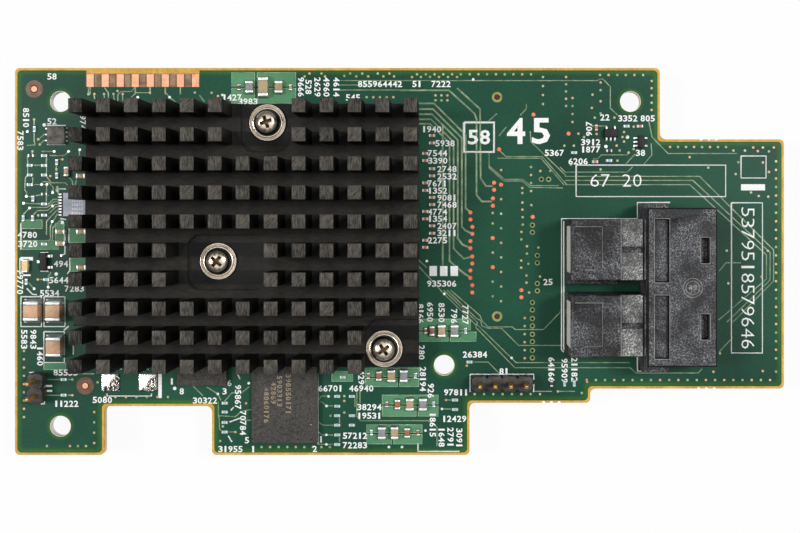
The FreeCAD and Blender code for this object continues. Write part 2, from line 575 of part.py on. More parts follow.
os.makedirs("parts", exist_ok=True)
lid_z = TOP + BALL_H + SUBSTRATE_T
nodes = {
    "circuit_board": circuit_board(),
    "heat_sink": heat_sink(),
    "heat_sink_screws": heat_sink_screws(),
    "heat_sink_washers": heat_sink_washers(),
    "heat_sink_nuts": heat_sink_nuts(),
    "controller_substrate": block(PACKAGE_X, PACKAGE_Y, PACKAGE_W, PACKAGE_W, TOP + BALL_H, lid_z),
    "controller_lid": chamfer_top(block(PACKAGE_X, PACKAGE_Y, LID_W, LID_W, lid_z, lid_z + LID_T), 0.2),
    "thermal_pad": block(PACKAGE_X, PACKAGE_Y, 21.0, 21.0, lid_z + LID_T, TOP + SINK_STAND),
    "package_joints": group([
        joint_field(PACKAGE_X, PACKAGE_Y, PACKAGE_W, PACKAGE_W, TOP, TOP + BALL_H),
        joint_field(*FLASH, TOP, TOP + 0.35), joint_field(*NVRAM, TOP, TOP + 0.35)]),
    "flash_chip": package(*FLASH, 0.35, 1.2, (-4.6, 5.4)),
    "backup_memory_chip": package(*NVRAM, 0.35, 1.2, (-3.3, -4.5)),
    "memory_chips": memory_chips(),
    "memory_joints": memory_joints(),
    "termination_arrays": termination_arrays(),
    "decoupling_capacitors": decoupling_capacitors(),
    "buffer_chip": moulded(*BUFFER, TOP, TOP + 1.1),
    "buffer_label": block(2.68, -17.42, 3.7, 3.9, TOP + 1.1, TOP + 1.16),
    "sense_chip": moulded(*SENSE_CHIP, TOP, TOP + 0.9),
    "switch_transistor": moulded(*TRANSISTOR, TOP, TOP + 1.0),
    "gate_chip": moulded(*GATE_CHIP, TOP, TOP + 0.95),
    "level_chip": moulded(*LEVEL_CHIP, TOP, TOP + 0.95),
    "regulator_chip": moulded(*REGULATOR, TOP, TOP + 1.1),
    "package_leads": package_leads(),
    "status_led": status_led(),
    "output_capacitors": bodies(output_parts()),
    "output_capacitor_ends": ends(output_parts()),
    "filter_parts": bodies(filter_parts()),
    "filter_part_ends": ends(filter_parts()),
    "small_capacitors": bodies(small_parts()),
    "small_capacitor_ends": ends(small_parts()),
    "coupling_capacitors": tiny_group(COUPLING_CAPACITORS),
    "resistors_left": tiny_group(RESISTORS_LEFT_X, RESISTORS_LEFT_Y),
    "resistors_low": tiny_group(RESISTORS_LOW),
    "resistors_right": tiny_group(RESISTORS_RIGHT_X, RESISTORS_RIGHT_Y),
    "port_shell": port_shell(),
    "port_insert_upper": port_insert(PORT_YS[0]),
    "port_insert_lower": port_insert(PORT_YS[1]),
    "port_wafer_upper": port_wafer(PORT_YS[0]),
    "port_wafer_lower": port_wafer(PORT_YS[1]),
    "port_contacts_upper": port_contacts(PORT_YS[0]),
    "port_contacts_lower": port_contacts(PORT_YS[1]),
    "port_tails": port_tails(),
    "sense_header_body": header_body(SENSE_PINS),
    "sense_header_pins": header_pins(SENSE_PINS),
    "jumper_header_body": header_body(JUMPER_PINS),
    "jumper_header_pins": header_pins(JUMPER_PINS),
    "header_solder": header_solder(),
    "solder_lands": solder_lands(),
    "edge_contacts": edge_contacts(),
    "stack_housing": stack_housing(),
    "stack_contacts": stack_contacts(),
}
for name, shape in nodes.items():
    shape.exportStep("parts/%s.step" % name)
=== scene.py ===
import math
import random

import bmesh
import bpy
from mathutils import Matrix, Vector


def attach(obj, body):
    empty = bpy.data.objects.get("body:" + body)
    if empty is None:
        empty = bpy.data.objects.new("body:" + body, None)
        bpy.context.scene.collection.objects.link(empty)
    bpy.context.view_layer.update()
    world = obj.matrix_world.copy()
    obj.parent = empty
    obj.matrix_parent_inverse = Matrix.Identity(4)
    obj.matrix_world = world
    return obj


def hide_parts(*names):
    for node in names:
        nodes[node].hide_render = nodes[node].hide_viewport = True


# Storage controller card: finishes, solder mask, conductors, legend and light.
# The making is in millimetres; piece() brings each mesh to metres.

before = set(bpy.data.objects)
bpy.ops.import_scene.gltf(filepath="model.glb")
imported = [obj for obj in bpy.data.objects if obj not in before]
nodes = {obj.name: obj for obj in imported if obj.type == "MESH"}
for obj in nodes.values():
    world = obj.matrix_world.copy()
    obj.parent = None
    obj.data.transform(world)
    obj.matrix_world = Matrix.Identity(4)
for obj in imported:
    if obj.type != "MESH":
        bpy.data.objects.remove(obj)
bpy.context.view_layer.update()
MM = 0.001
TOP = 1.57                      # board's component side
draw = random.Random(41)


# places

PX = 5.92                       # photograph's pixels to a millimetre, on the board
SIGHT_PX, SIGHT_PY = 453, 220   # a pixel of the board, and its place in millimetres
SIGHT_X, SIGHT_Y = 66.31, -20.02
HOLES = [(0, 0), (0, -54.85), (64.8, -44.56), (96.27, 0)]


def spot(px, py):
    """Place on the board of a pixel of the photograph."""
    return SIGHT_X + (px - SIGHT_PX) / PX, SIGHT_Y - (py - SIGHT_PY) / PX


def spots(points):
    return [spot(*p) for p in points]


# finishes

def tone(r, g, b):
    """Colour written as it looks, 0 to 255."""
    def linear(v):
        v /= 255
        return v / 12.92 if v <= 0.04045 else ((v + 0.055) / 1.055) ** 2.4
    return linear(r), linear(g), linear(b), 1.0


class Wire:
    """An output socket; its operators add Math nodes."""

    def __init__(self, finish, socket):
        self.finish, self.socket = finish, socket

    def math(self, operation, *terms):
        return self.finish.add("ShaderNodeMath", {"operation": operation}, dict(enumerate(terms)))

    def __add__(self, other):
        return self.math("ADD", self, other)

    def __sub__(self, other):
        return self.math("SUBTRACT", self, other)

    def __mul__(self, other):
        return self.math("MULTIPLY", self, other)

    def __truediv__(self, other):
        return self.math("DIVIDE", self, other)

    def __gt__(self, other):
        return self.math("GREATER_THAN", self, other)

    def __lt__(self, other):
        return self.math("LESS_THAN", self, other)

    __radd__, __rmul__ = __add__, __mul__

    def floor(self):
        return self.math("FLOOR", self)

    def sine(self):
        return self.math("SINE", self)

    def span(self, low, high, start=0.0, stop=1.0):
        """Low to high becomes start to stop, held at both ends."""
        return self.finish.add("ShaderNodeMapRange", {}, {0: self, 1: low, 2: high, 3: start, 4: stop})


class Finish:
    """A material that is painted with wires on object coordinates, in metres."""

    def __init__(self, name, **constants):
        self.material = bpy.data.materials.new(name)
        self.material.use_nodes = True
        self.tree = self.material.node_tree
        self.shader = self.tree.nodes["Principled BSDF"]
        for key, value in constants.items():
            self.shader.inputs[key.replace("_", " ")].default_value = value
        self.place = self.add("ShaderNodeTexCoord", out="Object")

    def add(self, kind, settings=None, sockets=None, out=0):
        node = self.tree.nodes.new(kind)
        for key, value in (settings or {}).items():
            setattr(node, key, value)
        for key, value in (sockets or {}).items():
            self.feed(node.inputs[key], value)
        return Wire(self, node.outputs[out])

    def feed(self, socket, value):
        if isinstance(value, Wire):
            self.tree.links.new(value.socket, socket)
        else:
            socket.default_value = value

    def axes(self, wire=None):
        first = self.add("ShaderNodeSeparateXYZ", {}, {0: wire or self.place})
        return [Wire(self, socket) for socket in first.socket.node.outputs]

    def stretched(self, scale, wire=None):
        return self.add("ShaderNodeVectorMath", {"operation": "MULTIPLY"}, {0: wire or self.place, 1: scale})

    def noise(self, scale, detail=2.0, rough=0.5, wire=None):
        return self.add("ShaderNodeTexNoise", {}, {"Vector": wire or self.place, "Scale": scale,
                                                   "Detail": detail, "Roughness": rough})

    def blend(self, factor, a, b):
        return self.add("ShaderNodeMix", {"data_type": "RGBA"}, {0: factor, 6: a, 7: b}, 2)

    def tint(self):
        return self.add("ShaderNodeAttribute", {"attribute_name": "tint"}, out="Color")

    def paint(self, color, roughness=0.5, metallic=0.0, bump=None, depth=0.00001, coat=0.0):
        values = {"Base Color": color, "Roughness": roughness, "Metallic": metallic, "Coat Weight": coat}
        for key, value in values.items():
            self.feed(self.shader.inputs[key], value)
        if bump:
            normal = self.add("ShaderNodeBump", {}, {"Height": bump, "Distance": depth, "Strength": 1.0})
            self.feed(self.shader.inputs["Normal"], normal)
        return self


NEAR_HOLE = 3.06e-6             # square of the distance, in metres, that takes in a hole's wall


def laminate():
    """Epoxy and glass in layers; cut edges are paler than faces, drilled walls palest."""
    f = Finish("laminate")
    x, y, z = f.axes()
    layers = f.noise(1, 2, wire=f.stretched((300, 300, 5200)))
    fibre = f.noise(1800, 3)
    color = f.blend((fibre * 0.5 + layers * 0.5).span(0.3, 0.7), tone(180, 130, 34), tone(240, 190, 78))
    drilled = 0.0
    for hole_x, hole_y in HOLES:
        dx, dy = x - hole_x * MM, y - hole_y * MM
        drilled = (dx * dx + dy * dy < NEAR_HOLE) + drilled
    wall = (z > 0.00005) * z.span(0.0008, 0.0013, 1.0, 0.0)
    color = f.blend(wall, color, f.blend(layers.span(0.3, 0.7), tone(222, 200, 156), tone(248, 234, 204)))
    color = f.blend(drilled, color, f.blend(fibre, tone(240, 236, 226), tone(255, 254, 250)))
    return f.paint(color, 0.45 + 0.15 * fibre, bump=layers, depth=0.00003)


def mask(name, deep, light, gloss=0.3):
    """Solder mask over copper or laminate, with the glass weave just showing."""
    f = Finish(name, Specular_IOR_Level=0.2)
    x, y = f.axes()[:2]
    weave = (x * 9000).sine() * (y * 9000).sine()
    cloud = f.noise(55, 3)
    speck = f.noise(2600, 2)
    factor = (cloud * 0.75 + speck * 0.25 + weave * 0.03).span(0.32, 0.68)
    rough = (cloud * 0.08 + speck * 0.06) + gloss
    return f.paint(f.blend(factor, deep, light), rough, bump=weave * 0.3 + speck, depth=0.000002)


def covered_copper(name, deep, light):
    f = Finish(name)
    worn = f.noise(900, 3)
    return f.paint(f.blend(worn.span(0.35, 0.65), deep, light), worn * 0.15 + 0.25, 0.15, worn, 0.000003)


def bright_metal(name, deep, light, rough=0.25, metallic=0.85, scale=1500, depth=0.000008):
    f = Finish(name)
    dull = f.noise(scale, 4, 0.6)
    fine = f.noise(scale * 4.5, 2)
    color = f.blend((dull * 0.7 + fine * 0.3).span(0.3, 0.7), deep, light)
    return f.paint(color, dull * 0.25 + rough, metallic, dull + fine * 0.3, depth)


LAND_X, LAND_Y, LAND_STEP = 6.85, -46.0, 6.37    # upper left corner of the first tinned land
PER_WIDTH, PER_LENGTH = 2.05, 345                # a land's widths in a step, and its lengths in a metre


def hand_solder():
    """Tinned by hand: smooth, with a painted highlight, at the upper left of each land; ridged, with painted
    shade, at its lower right.
    """
    f = Finish("hand_solder")
    x, y = f.axes()[:2]
    across = (x - LAND_X * MM) / (LAND_STEP * MM)
    slant = (across - across.floor()) * PER_WIDTH + (y - LAND_Y * MM) * -PER_LENGTH
    ridge = f.noise(1, 3, 0.6, f.stretched((5200, 2800, 900)))
    # painted shade over the lower right of each land, past the slant; the upper left keeps the painted
    # highlight
    dark = (slant + f.noise(700, 3) * 0.6).span(1.1, 1.4)
    ridged = f.blend(ridge.span(0.48, 0.6), tone(18, 16, 14), tone(255, 250, 236))
    bright = f.blend(ridge.span(0.3, 0.5), tone(214, 212, 206), tone(255, 255, 253))
    return f.paint(f.blend(dark, bright, ridged), ridge * 0.2 + 0.15, 0.75, ridge * (dark + 0.3), 0.00012)


def legend_ink():
    f = Finish("legend_ink")
    ink = f.noise(2400, 3)
    return f.paint(f.blend(ink.span(0.3, 0.6), tone(240, 243, 240), tone(255, 255, 254)),
                   ink * 0.2 + 0.45, bump=ink, depth=0.000004)


def plastic(name, deep, light, scale=5200, rough=0.5, depth=0.000006, specks=None, cloudy=0.5):
    """Moulded resin; specks are the pale fibres that lie in the surface."""
    f = Finish(name, Specular_IOR_Level=0.3)
    grain = f.noise(scale, 4, 0.65)
    broad = f.noise(scale * 0.13, 4, 0.7)
    color = f.blend((grain * (1 - cloudy) + broad * cloudy).span(0.37, 0.63), deep, light)
    if specks:
        turned = f.add("ShaderNodeVectorRotate", {"rotation_type": "Z_AXIS"},
                       {"Vector": f.place, "Angle": 0.7})
        fibres = f.noise(1, 4, 0.7, f.stretched((5400, 2700, 3800), turned)).span(0.48, 0.62)
        cloud = f.noise(240, 3, 0.6).span(0.38, 0.62, 0.15, 1.0)
        color = f.blend(fibres * cloud, f.blend(cloud, deep, color), specks)
    return f.paint(color, grain * 0.25 + rough, bump=grain, depth=depth)


SINK_X0, SINK_Y1 = 5.97, -0.91
PIN_STEP_X, PIN_STEP_Y = 4.3825, 4.5611
BASE_FACE, PIN_TIP = 7.1, 15.94  # just over the base's top face, and the tips of the pins


def anodised():
    """Black sink; the sawn pin tops are worn to grey, each pin brushed its own way. Painted shade darkens the
    base between the pins of a row and the leftmost column of tops.
    """
    f = Finish("black_anodised", Specular_IOR_Level=0.18)
    x, y, z = f.axes()
    col = ((x - SINK_X0 * MM) / (PIN_STEP_X * MM)).floor()
    row = ((y - SINK_Y1 * MM) / (PIN_STEP_Y * MM)).floor()
    cell = f.add("ShaderNodeCombineXYZ", {}, {0: col, 1: row})
    chance = f.add("ShaderNodeTexWhiteNoise", {"noise_dimensions": "2D"}, {"Vector": cell})
    angle = (chance - 0.5) * 0.25 + (chance > 0.78) * (chance - 0.7) * 2.4
    turned = f.add("ShaderNodeVectorRotate", {"rotation_type": "Z_AXIS"},
                   {"Vector": f.place, "Angle": angle})
    streak = f.noise(1, 4, 0.7, f.stretched((6800, 900, 300), turned))
    blotch = f.noise(900, 3)
    cut = z.span((PIN_TIP - 0.16) * MM, PIN_TIP * MM)
    # painted shade: the leftmost column of pin tops is darkened
    shade = (streak * 0.8 + blotch * 0.2).span(0.38, 0.64) + (chance - 0.5) * 0.2 - (col < 0.5) * 0.35
    grey = f.blend(shade, tone(26, 25, 23), tone(96, 91, 84))
    grain = f.noise(1, 3, 0.5, f.stretched((900, 2600, 2600)))
    # painted shade: the base between the pins of a row takes the pin sides' black; the lanes between rows
    # keep a lighter, lit grey
    down = (y - SINK_Y1 * MM) / (-PIN_STEP_Y * MM)
    lane = (down - down.floor()).span(0.48, 0.56) * (z < BASE_FACE * MM)
    black_sides_and_row_shadow = f.blend(grain.span(0.3, 0.7), tone(7, 7, 6), tone(15, 15, 13))
    lit_lane_grey = f.blend(grain.span(0.3, 0.7), tone(24, 23, 20), tone(44, 42, 37))
    color = f.blend(cut, f.blend(lane, black_sides_and_row_shadow, lit_lane_grey), grey)
    rough = grain * 0.15 + 0.5 - cut * 0.1
    return f.paint(color, rough, cut * 0.25, streak * cut + grain * 0.5, 0.000006)


def ceramic():
    """Fired ceramic body in the piece's own tint."""
    f = Finish("ceramic")
    grain = f.noise(3600, 4, 0.6)
    darker = f.add("ShaderNodeVectorMath", {"operation": "SCALE"}, {0: f.tint(), "Scale": 0.72})
    return f.paint(f.blend(grain.span(0.3, 0.62), darker, f.tint()), grain * 0.2 + 0.35,
                   bump=grain, depth=0.000006)


def floor_finish():
    """White paper; what the camera sees of it is half its own white, and shadows stay."""
    f = Finish("paper", Specular_IOR_Level=0.2)
    fibre = f.noise(900, 3)
    f.paint(f.blend(fibre, tone(236, 236, 236), tone(246, 246, 246)), fibre * 0.1 + 0.8)
    path = f.add("ShaderNodeLightPath", out="Is Camera Ray")
    glow = f.add("ShaderNodeEmission", {}, {"Color": (1, 1, 1, 1), "Strength": 1.0})
    both = f.add("ShaderNodeMixShader", {}, {0: path * 0.94, 1: Wire(f, f.shader.outputs[0]), 2: glow})
    f.feed(f.tree.nodes["Material Output"].inputs[0], both)
    return f


LAMINATE = laminate()
BARE = covered_copper("bare_laminate", tone(104, 78, 50), tone(158, 124, 92))
# painted shade along the sides of the contact fingers
FINGER_SIDE_SHADE = covered_copper("painted_finger_side_shade", tone(52, 38, 26), tone(84, 62, 42))
MARGIN = mask("mask_margin", tone(24, 74, 34), tone(52, 108, 50))
PLANE = mask("mask_plane", tone(6, 56, 40), tone(26, 84, 62))
MOAT = mask("mask_moat", tone(24, 68, 34), tone(40, 90, 48))
POUR = mask("mask_pour", tone(72, 124, 88), tone(100, 156, 116))
POUR_RIM = covered_copper("pour_rim", tone(132, 172, 130), tone(196, 216, 180))
TRACE = covered_copper("covered_trace", tone(92, 120, 90), tone(146, 160, 124))
TINNED_VIA = bright_metal("copper_via", tone(176, 128, 88), tone(226, 184, 142), 0.3, 0.3)
TENTED_VIA = covered_copper("tented_via", tone(132, 150, 98), tone(190, 198, 150))
VIA_RING = covered_copper("via_ring", tone(112, 128, 72), tone(150, 160, 104))
TEST_DOT = bright_metal("test_dot", tone(226, 98, 60), tone(248, 140, 96), 0.3, 0.3)
LEGEND = legend_ink()
SOLDER = bright_metal("tinned", tone(204, 206, 206), tone(254, 254, 252), 0.2, 0.7)
LIT_AND_SHADED_SOLDER = hand_solder()
JOINT = bright_metal("solder_joint", tone(120, 122, 120), tone(196, 198, 196), 0.25, 0.8)
GOLD = bright_metal("gold_plate", tone(176, 118, 52), tone(246, 198, 112), 0.2, 0.9, 2400)
COPPER = bright_metal("copper_finger", tone(214, 146, 108), tone(250, 190, 152), 0.3, 0.35, 900)
NICKEL = bright_metal("nickel_plate", tone(206, 184, 152), tone(255, 246, 230), 0.08, 0.9, 800, 0.00005)
# painted shade: near black on the screw heads' outer rims and on the washers under the heads
RIM_SHADE = bright_metal("painted_rim_shade", tone(10, 9, 8), tone(40, 36, 30), 0.4, 0.5, 900)
RECESS = bright_metal("recess_shade", tone(34, 26, 18), tone(128, 104, 76), 0.3, 0.7, 2200, 0.00005)
# painted highlight: a paler copy of the washer plate on the washers' two lips
LIP_HIGHLIGHT = bright_metal("painted_lip_highlight", tone(216, 204, 186), tone(255, 252, 244), 0.12, 0.8, 900)
RING = bright_metal("washer_plate", tone(132, 112, 88), tone(222, 200, 172), 0.18, 0.9, 700)
LID = bright_metal("lid_plate", tone(130, 132, 134), tone(182, 184, 186), 0.35, 0.85, 600)
SINK = anodised()
CERAMIC = ceramic()
MOULDING = plastic("moulding", tone(38, 36, 33), tone(86, 83, 78), 3400, 0.45, cloudy=0.15)
COARSE = plastic("coarse_moulding", tone(44, 42, 40), tone(140, 135, 128), 7000, 0.45)
CHIP_BLACK = plastic("chip_moulding", tone(8, 8, 8), tone(34, 31, 29), 4200, 0.4)
LASER = covered_copper("laser_mark", tone(128, 114, 92), tone(168, 152, 126))
PORT = plastic("port_resin", tone(16, 16, 18), tone(68, 68, 71), 4200, 0.42, 0.00001, tone(150, 152, 157))
# painted highlight: pale lines along the edges and rims of the port block
EDGE_HIGHLIGHT = plastic("painted_edge_highlight", tone(104, 103, 101), tone(184, 181, 176), 4200, 0.42)
# painted shadow: near black for creases, pocket corners and the port shell's bevelled rims
SHADOW_LINE = plastic("edge_shadow", tone(6, 6, 7), tone(16, 16, 17), 4200, 0.6)
FIDUCIAL = covered_copper("fiducial_ground", tone(88, 58, 40), tone(122, 84, 60))
PORT_DARK = plastic("insert_resin", tone(12, 12, 14), tone(52, 52, 55), 4200, 0.45, 0.00001,
                    tone(150, 151, 155))
PORT_PALE = plastic("step_resin", tone(62, 62, 62), tone(118, 118, 116), 4200, 0.45, 0.00001,
                    tone(214, 214, 212))
WAFER = plastic("wafer_resin", tone(244, 240, 228), tone(255, 254, 248), 2600, 0.55)
HEADER = plastic("header_resin", tone(30, 29, 28), tone(80, 77, 73), 3600, 0.34)
STACK = plastic("stack_resin", tone(30, 30, 30), tone(58, 58, 58), 3800, 0.42)
# painted shade: black standing in for the inside of an open via hole; the same black also rings each
# fiducial's copper pad
VIA_HOLE_SHADE_AND_PAD_RIM = plastic("painted_via_hole_shade_and_pad_rim", tone(3, 3, 2), tone(12, 11, 8), 4200, 0.75)
PAD = plastic("pad_rubber", tone(150, 152, 156), tone(190, 192, 196), 3000, 0.7)
SUBSTRATE = mask("substrate_mask", tone(38, 84, 52), tone(58, 110, 72), 0.4)
PAPER_LABEL = plastic("label_paper", tone(176, 182, 196), tone(206, 211, 222), 2600, 0.6)


# making

def mesh_of(name, bm):
    """Turns bm into a mesh and frees it."""
    mesh = bpy.data.meshes.new(name)
    bm.to_mesh(mesh)
    bm.free()
    return mesh


def piece(name, bm, finishes, stands_for=(), smooth=0.0):
    """Brings a mesh in millimetres into the scene as a piece of the card."""
    bmesh.ops.scale(bm, vec=(MM, MM, MM), verts=bm.verts)
    mesh = mesh_of(name, bm)
    for finish in finishes:
        mesh.materials.append(finish.material)
    if smooth:
        mesh.shade_smooth()
        mesh.set_sharp_from_angle(angle=math.radians(smooth))
    thing = bpy.data.objects.new(name, mesh)
    bpy.context.scene.collection.objects.link(thing)
    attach(thing, "root")
    if stands_for:
        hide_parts(*stands_for)
    return thing


def tinted(bm):
    """Gives the mesh the colour layer that the ceramic finish reads."""
    bm.loops.layers.float_color.new("tint")


def edges_of(verts):
    """Edges at these points, each once, in the order of the points."""
    return list(dict.fromkeys(edge for v in verts for edge in v.link_edges))


def colour(bm, faces, tint=None, finish=0):
    """Sets the finish of some faces, and their tint where the mesh has the layer."""
    layer = bm.loops.layers.float_color.get("tint")
    for face in faces:
        face.material_index = finish
        if layer and tint:
            for loop in face.loops:
                loop[layer] = tint


def block(bm, lo, hi, radius=0.0, segments=1, tint=None, finish=0):
    """Block between two corners; radius rounds its edges."""
    size = Vector(hi) - Vector(lo)
    middle = (Vector(hi) + Vector(lo)) / 2
    place = Matrix.Translation(middle) @ Matrix.Diagonal((*size, 1))
    verts = bmesh.ops.create_cube(bm, size=1, matrix=place)["verts"]
    if radius:
        made = bmesh.ops.bevel(bm, geom=edges_of(verts), offset=radius, segments=segments, profile=0.5,
                               affect="EDGES", material=-1, clamp_overlap=True)
        verts = made["verts"]
    faces = {f for v in verts for f in v.link_faces}
    colour(bm, faces, tint, finish)
    return verts


def disc(bm, x, y, r, z0, z1, sides=16, radius=0.0, finish=0):
    """Round pad; radius rounds its upper edge."""
    made = bmesh.ops.create_cone(bm, cap_ends=True, segments=sides, radius1=r, radius2=r, depth=z1 - z0,
                                 matrix=Matrix.Translation((x, y, (z0 + z1) / 2)))
    verts = made["verts"]
    if radius:
        edges = [e for e in edges_of(verts) if all(abs(v.co.z - z1) < 1e-6 for v in e.verts)]
        made = bmesh.ops.bevel(bm, geom=edges, offset=radius, segments=2, profile=0.5, affect="EDGES",
                               material=-1)
        verts = set(verts) | set(made["verts"])
    colour(bm, {f for v in verts if v.is_valid for f in v.link_faces}, None, finish)


def solids(node):
    """Lowest and highest corner, in millimetres, of each solid in a node."""
    bm = bmesh.new()
    bm.from_mesh(nodes[node].data)
    bmesh.ops.remove_doubles(bm, verts=bm.verts, dist=1e-7)
    left = set(bm.verts)
    out = []
    while left:
        group, edge = set(), [left.pop()]
        while edge:
            v = edge.pop()
            group.add(v)
            for e in v.link_edges:
                other = e.other_vert(v)
                if other in left:
                    left.discard(other)
                    edge.append(other)
        co = [v.co / MM for v in group]
        out.append((Vector([min(c[i] for c in co) for i in range(3)]),
                    Vector([max(c[i] for c in co) for i in range(3)])))
    bm.free()
    return sorted(out, key=lambda b: (round(b[0].y, 2), round(b[0].x, 2), b[0].z))


def softened(node, finishes, radius, segments=2, pick=None):
    """A node's own shape with its edges rounded, all but those shorter than three radii."""
    bm = bmesh.new()
    bm.from_mesh(nodes[node].data)
    bmesh.ops.scale(bm, vec=(1 / MM,) * 3, verts=bm.verts)
    bmesh.ops.remove_doubles(bm, verts=bm.verts, dist=1e-4)
    bmesh.ops.dissolve_limit(bm, angle_limit=math.radians(0.5), verts=bm.verts, edges=bm.edges)
    edges = [e for e in bm.edges if e.is_manifold and e.calc_face_angle(0) > math.radians(30)
             and e.calc_length() > 3 * radius]
    bmesh.ops.bevel(bm, geom=edges, offset=radius, segments=segments, profile=0.5, affect="EDGES",
                    material=-1, clamp_overlap=True)
    if pick:
        for face in bm.faces:
            face.material_index = pick(face)
    return piece(node + "_dressed", bm, finishes, (node,), 32)


def sheet_of(bm, corners, inset, round_r, holes, z0, z1, finish=0):
    """Thin layer on an outline of corners, drawn in from it, with round holes."""
    verts = [bm.verts.new((x, y, z0)) for x, y in corners]
    face = bm.faces.new(verts)
    bm.normal_update()
    if inset:
        made = bmesh.ops.inset_region(bm, faces=[face], thickness=inset, use_even_offset=True,
                                       use_boundary=True)
        bmesh.ops.delete(bm, geom=made["faces"], context="FACES")
        face = [f for f in bm.faces
                if len(f.verts) == len(corners) and abs(f.verts[0].co.z - z0) < 1e-6][-1]
    bmesh.ops.bevel(bm, geom=list(face.verts), offset=round_r, segments=4, profile=0.5,
                    affect="VERTICES", material=-1)
    rim = [f for f in bm.faces if all(abs(v.co.z - z0) < 1e-6 for v in f.verts)][-1]
    edges = list(rim.edges)
    bmesh.ops.delete(bm, geom=[rim], context="FACES_ONLY")
    for x, y, r in holes:
        ring = bmesh.ops.create_circle(bm, segments=40, radius=r, matrix=Matrix.Translation((x, y, z0)))
        edges += edges_of(ring["verts"])
    made = bmesh.ops.triangle_fill(bm, use_beauty=True, edges=edges, normal=(0, 0, 1))
    faces = [g for g in made["geom"] if isinstance(g, bmesh.types.BMFace)]
    made = bmesh.ops.extrude_face_region(bm, geom=faces, use_keep_orig=True)
    moved = [g for g in made["geom"] if isinstance(g, bmesh.types.BMVert)]
    bmesh.ops.translate(bm, vec=(0, 0, z1 - z0), verts=moved)
    colour(bm, {f for v in moved for f in v.link_faces} | set(faces), None, finish)


def as_mesh(data):
    """The mesh of a curve or a text."""
    thing = bpy.data.objects.new("blank", data)
    bpy.context.scene.collection.objects.link(thing)
    bpy.context.view_layer.update()
    mesh = bpy.data.meshes.new_from_object(thing.evaluated_get(bpy.context.evaluated_depsgraph_get()))
    bpy.data.objects.remove(thing)
    return mesh


def add_mesh(bm, mesh, matrix, finish=0):
    """Puts one more copy of a mesh into bm."""
    start, first = len(bm.verts), len(bm.faces)
    bm.from_mesh(mesh)
    bm.verts.ensure_lookup_table()
    bm.faces.ensure_lookup_table()
    bmesh.ops.transform(bm, matrix=matrix, verts=bm.verts[start:])
    for face in bm.faces[first:]:
        face.material_index = finish


def strips(bm, runs, width, z, thick, finish=0):
    """Low rounded strips along runs of points; their middle line stands thick above z."""
    line = bpy.data.curves.new("run", "CURVE")
    line.dimensions, line.twist_mode = "3D", "Z_UP"
    line.bevel_depth, line.bevel_resolution, line.use_fill_caps = width / 2, 0, True
    for run in runs:
        spline = line.splines.new("POLY")
        spline.points.add(len(run) - 1)
        for point, (x, y) in zip(spline.points, run):
            point.co = (x, y, 0, 1)
    flat = Matrix.Translation((0, 0, z)) @ Matrix.Diagonal((1, 1, 2 * thick / width, 1))
    add_mesh(bm, as_mesh(line), flat, finish)


# camera

lens = bpy.data.cameras.new("camera")
lens.sensor_width, lens.lens = 36.0, 53.28
lens.shift_x, lens.shift_y = -0.06625, -0.058125
lens.clip_start = 0.01
camera = bpy.data.objects.new("camera", lens)
camera.location = (0.06631, -0.02002, 0.20157)
bpy.context.scene.collection.objects.link(camera)
bpy.context.scene.camera = camera


# board

CORNERS = [(-7.67, 5.66), (101.25, 5.66), (101.25, -6.4), (122.2, -6.4), (122.2, -48.5), (89.5, -48.5),
           (89.5, -50.9), (69.1, -50.9), (69.1, -59.7), (25.6, -59.7), (25.6, -51.45), (7.4, -51.45),
           (7.4, -59.7), (-7.67, -59.7)]
SCREWS = [(35.8, -4.0), (27.7, -26.8), (55.0, -41.2)]
HEADERS = [(-3.51, -46.93), (-3.51, -49.47)] + [(70.74 + i * 2.54, -47.37) for i in range(4)]
PEGS = [(73.76, 0.73), (73.76, -36.3)]
FILM = 0.01                     # one layer of mask, copper or ink

nodes["circuit_board"].data.materials.clear()
nodes["circuit_board"].data.materials.append(LAMINATE.material)


def mask_side(name, z, step):
    """Margin, moat and plane layers of one side; step is up or down from z."""
    small = [(x, y, 1.6) for x, y in SCREWS] + [(x, y, 0.8) for x, y in HEADERS]
    small += [(x, y, 0.62) for x, y in PEGS]
    bm = bmesh.new()
    for finish, inset, hole_r, low, high in ((0, 0.39, 1.77, 0, 1), (1, 0.95, 2.15, 1, 1.5),
                                             (2, 1.25, 2.4, 1.5, 2)):
        holes = [(x, y, hole_r) for x, y in HOLES] + small
        sheet_of(bm, CORNERS, inset, 0.7, holes, z + low * step, z + high * step, finish)
    bmesh.ops.recalc_face_normals(bm, faces=bm.faces)
    piece(name, bm, [MARGIN, MOAT, PLANE])


mask_side("mask_top", TOP, FILM)
mask_side("mask_bottom", 0, -FILM)

SURFACE = TOP + 2 * FILM        # top of the plane mask


def plate(bm, x0, y0, x1, y1, z0, z1, finish=0):
    """Flat patch between two pixels of the photograph."""
    a, b = spot(x0, y1), spot(x1, y0)
    block(bm, (*a, z0), (*b, z1), finish=finish)


def frame_run(x0, y0, x1, y1):
    """Closed run round a rectangle."""
    return [(x0, y0), (x1, y0), (x1, y1), (x0, y1), (x0, y0)]


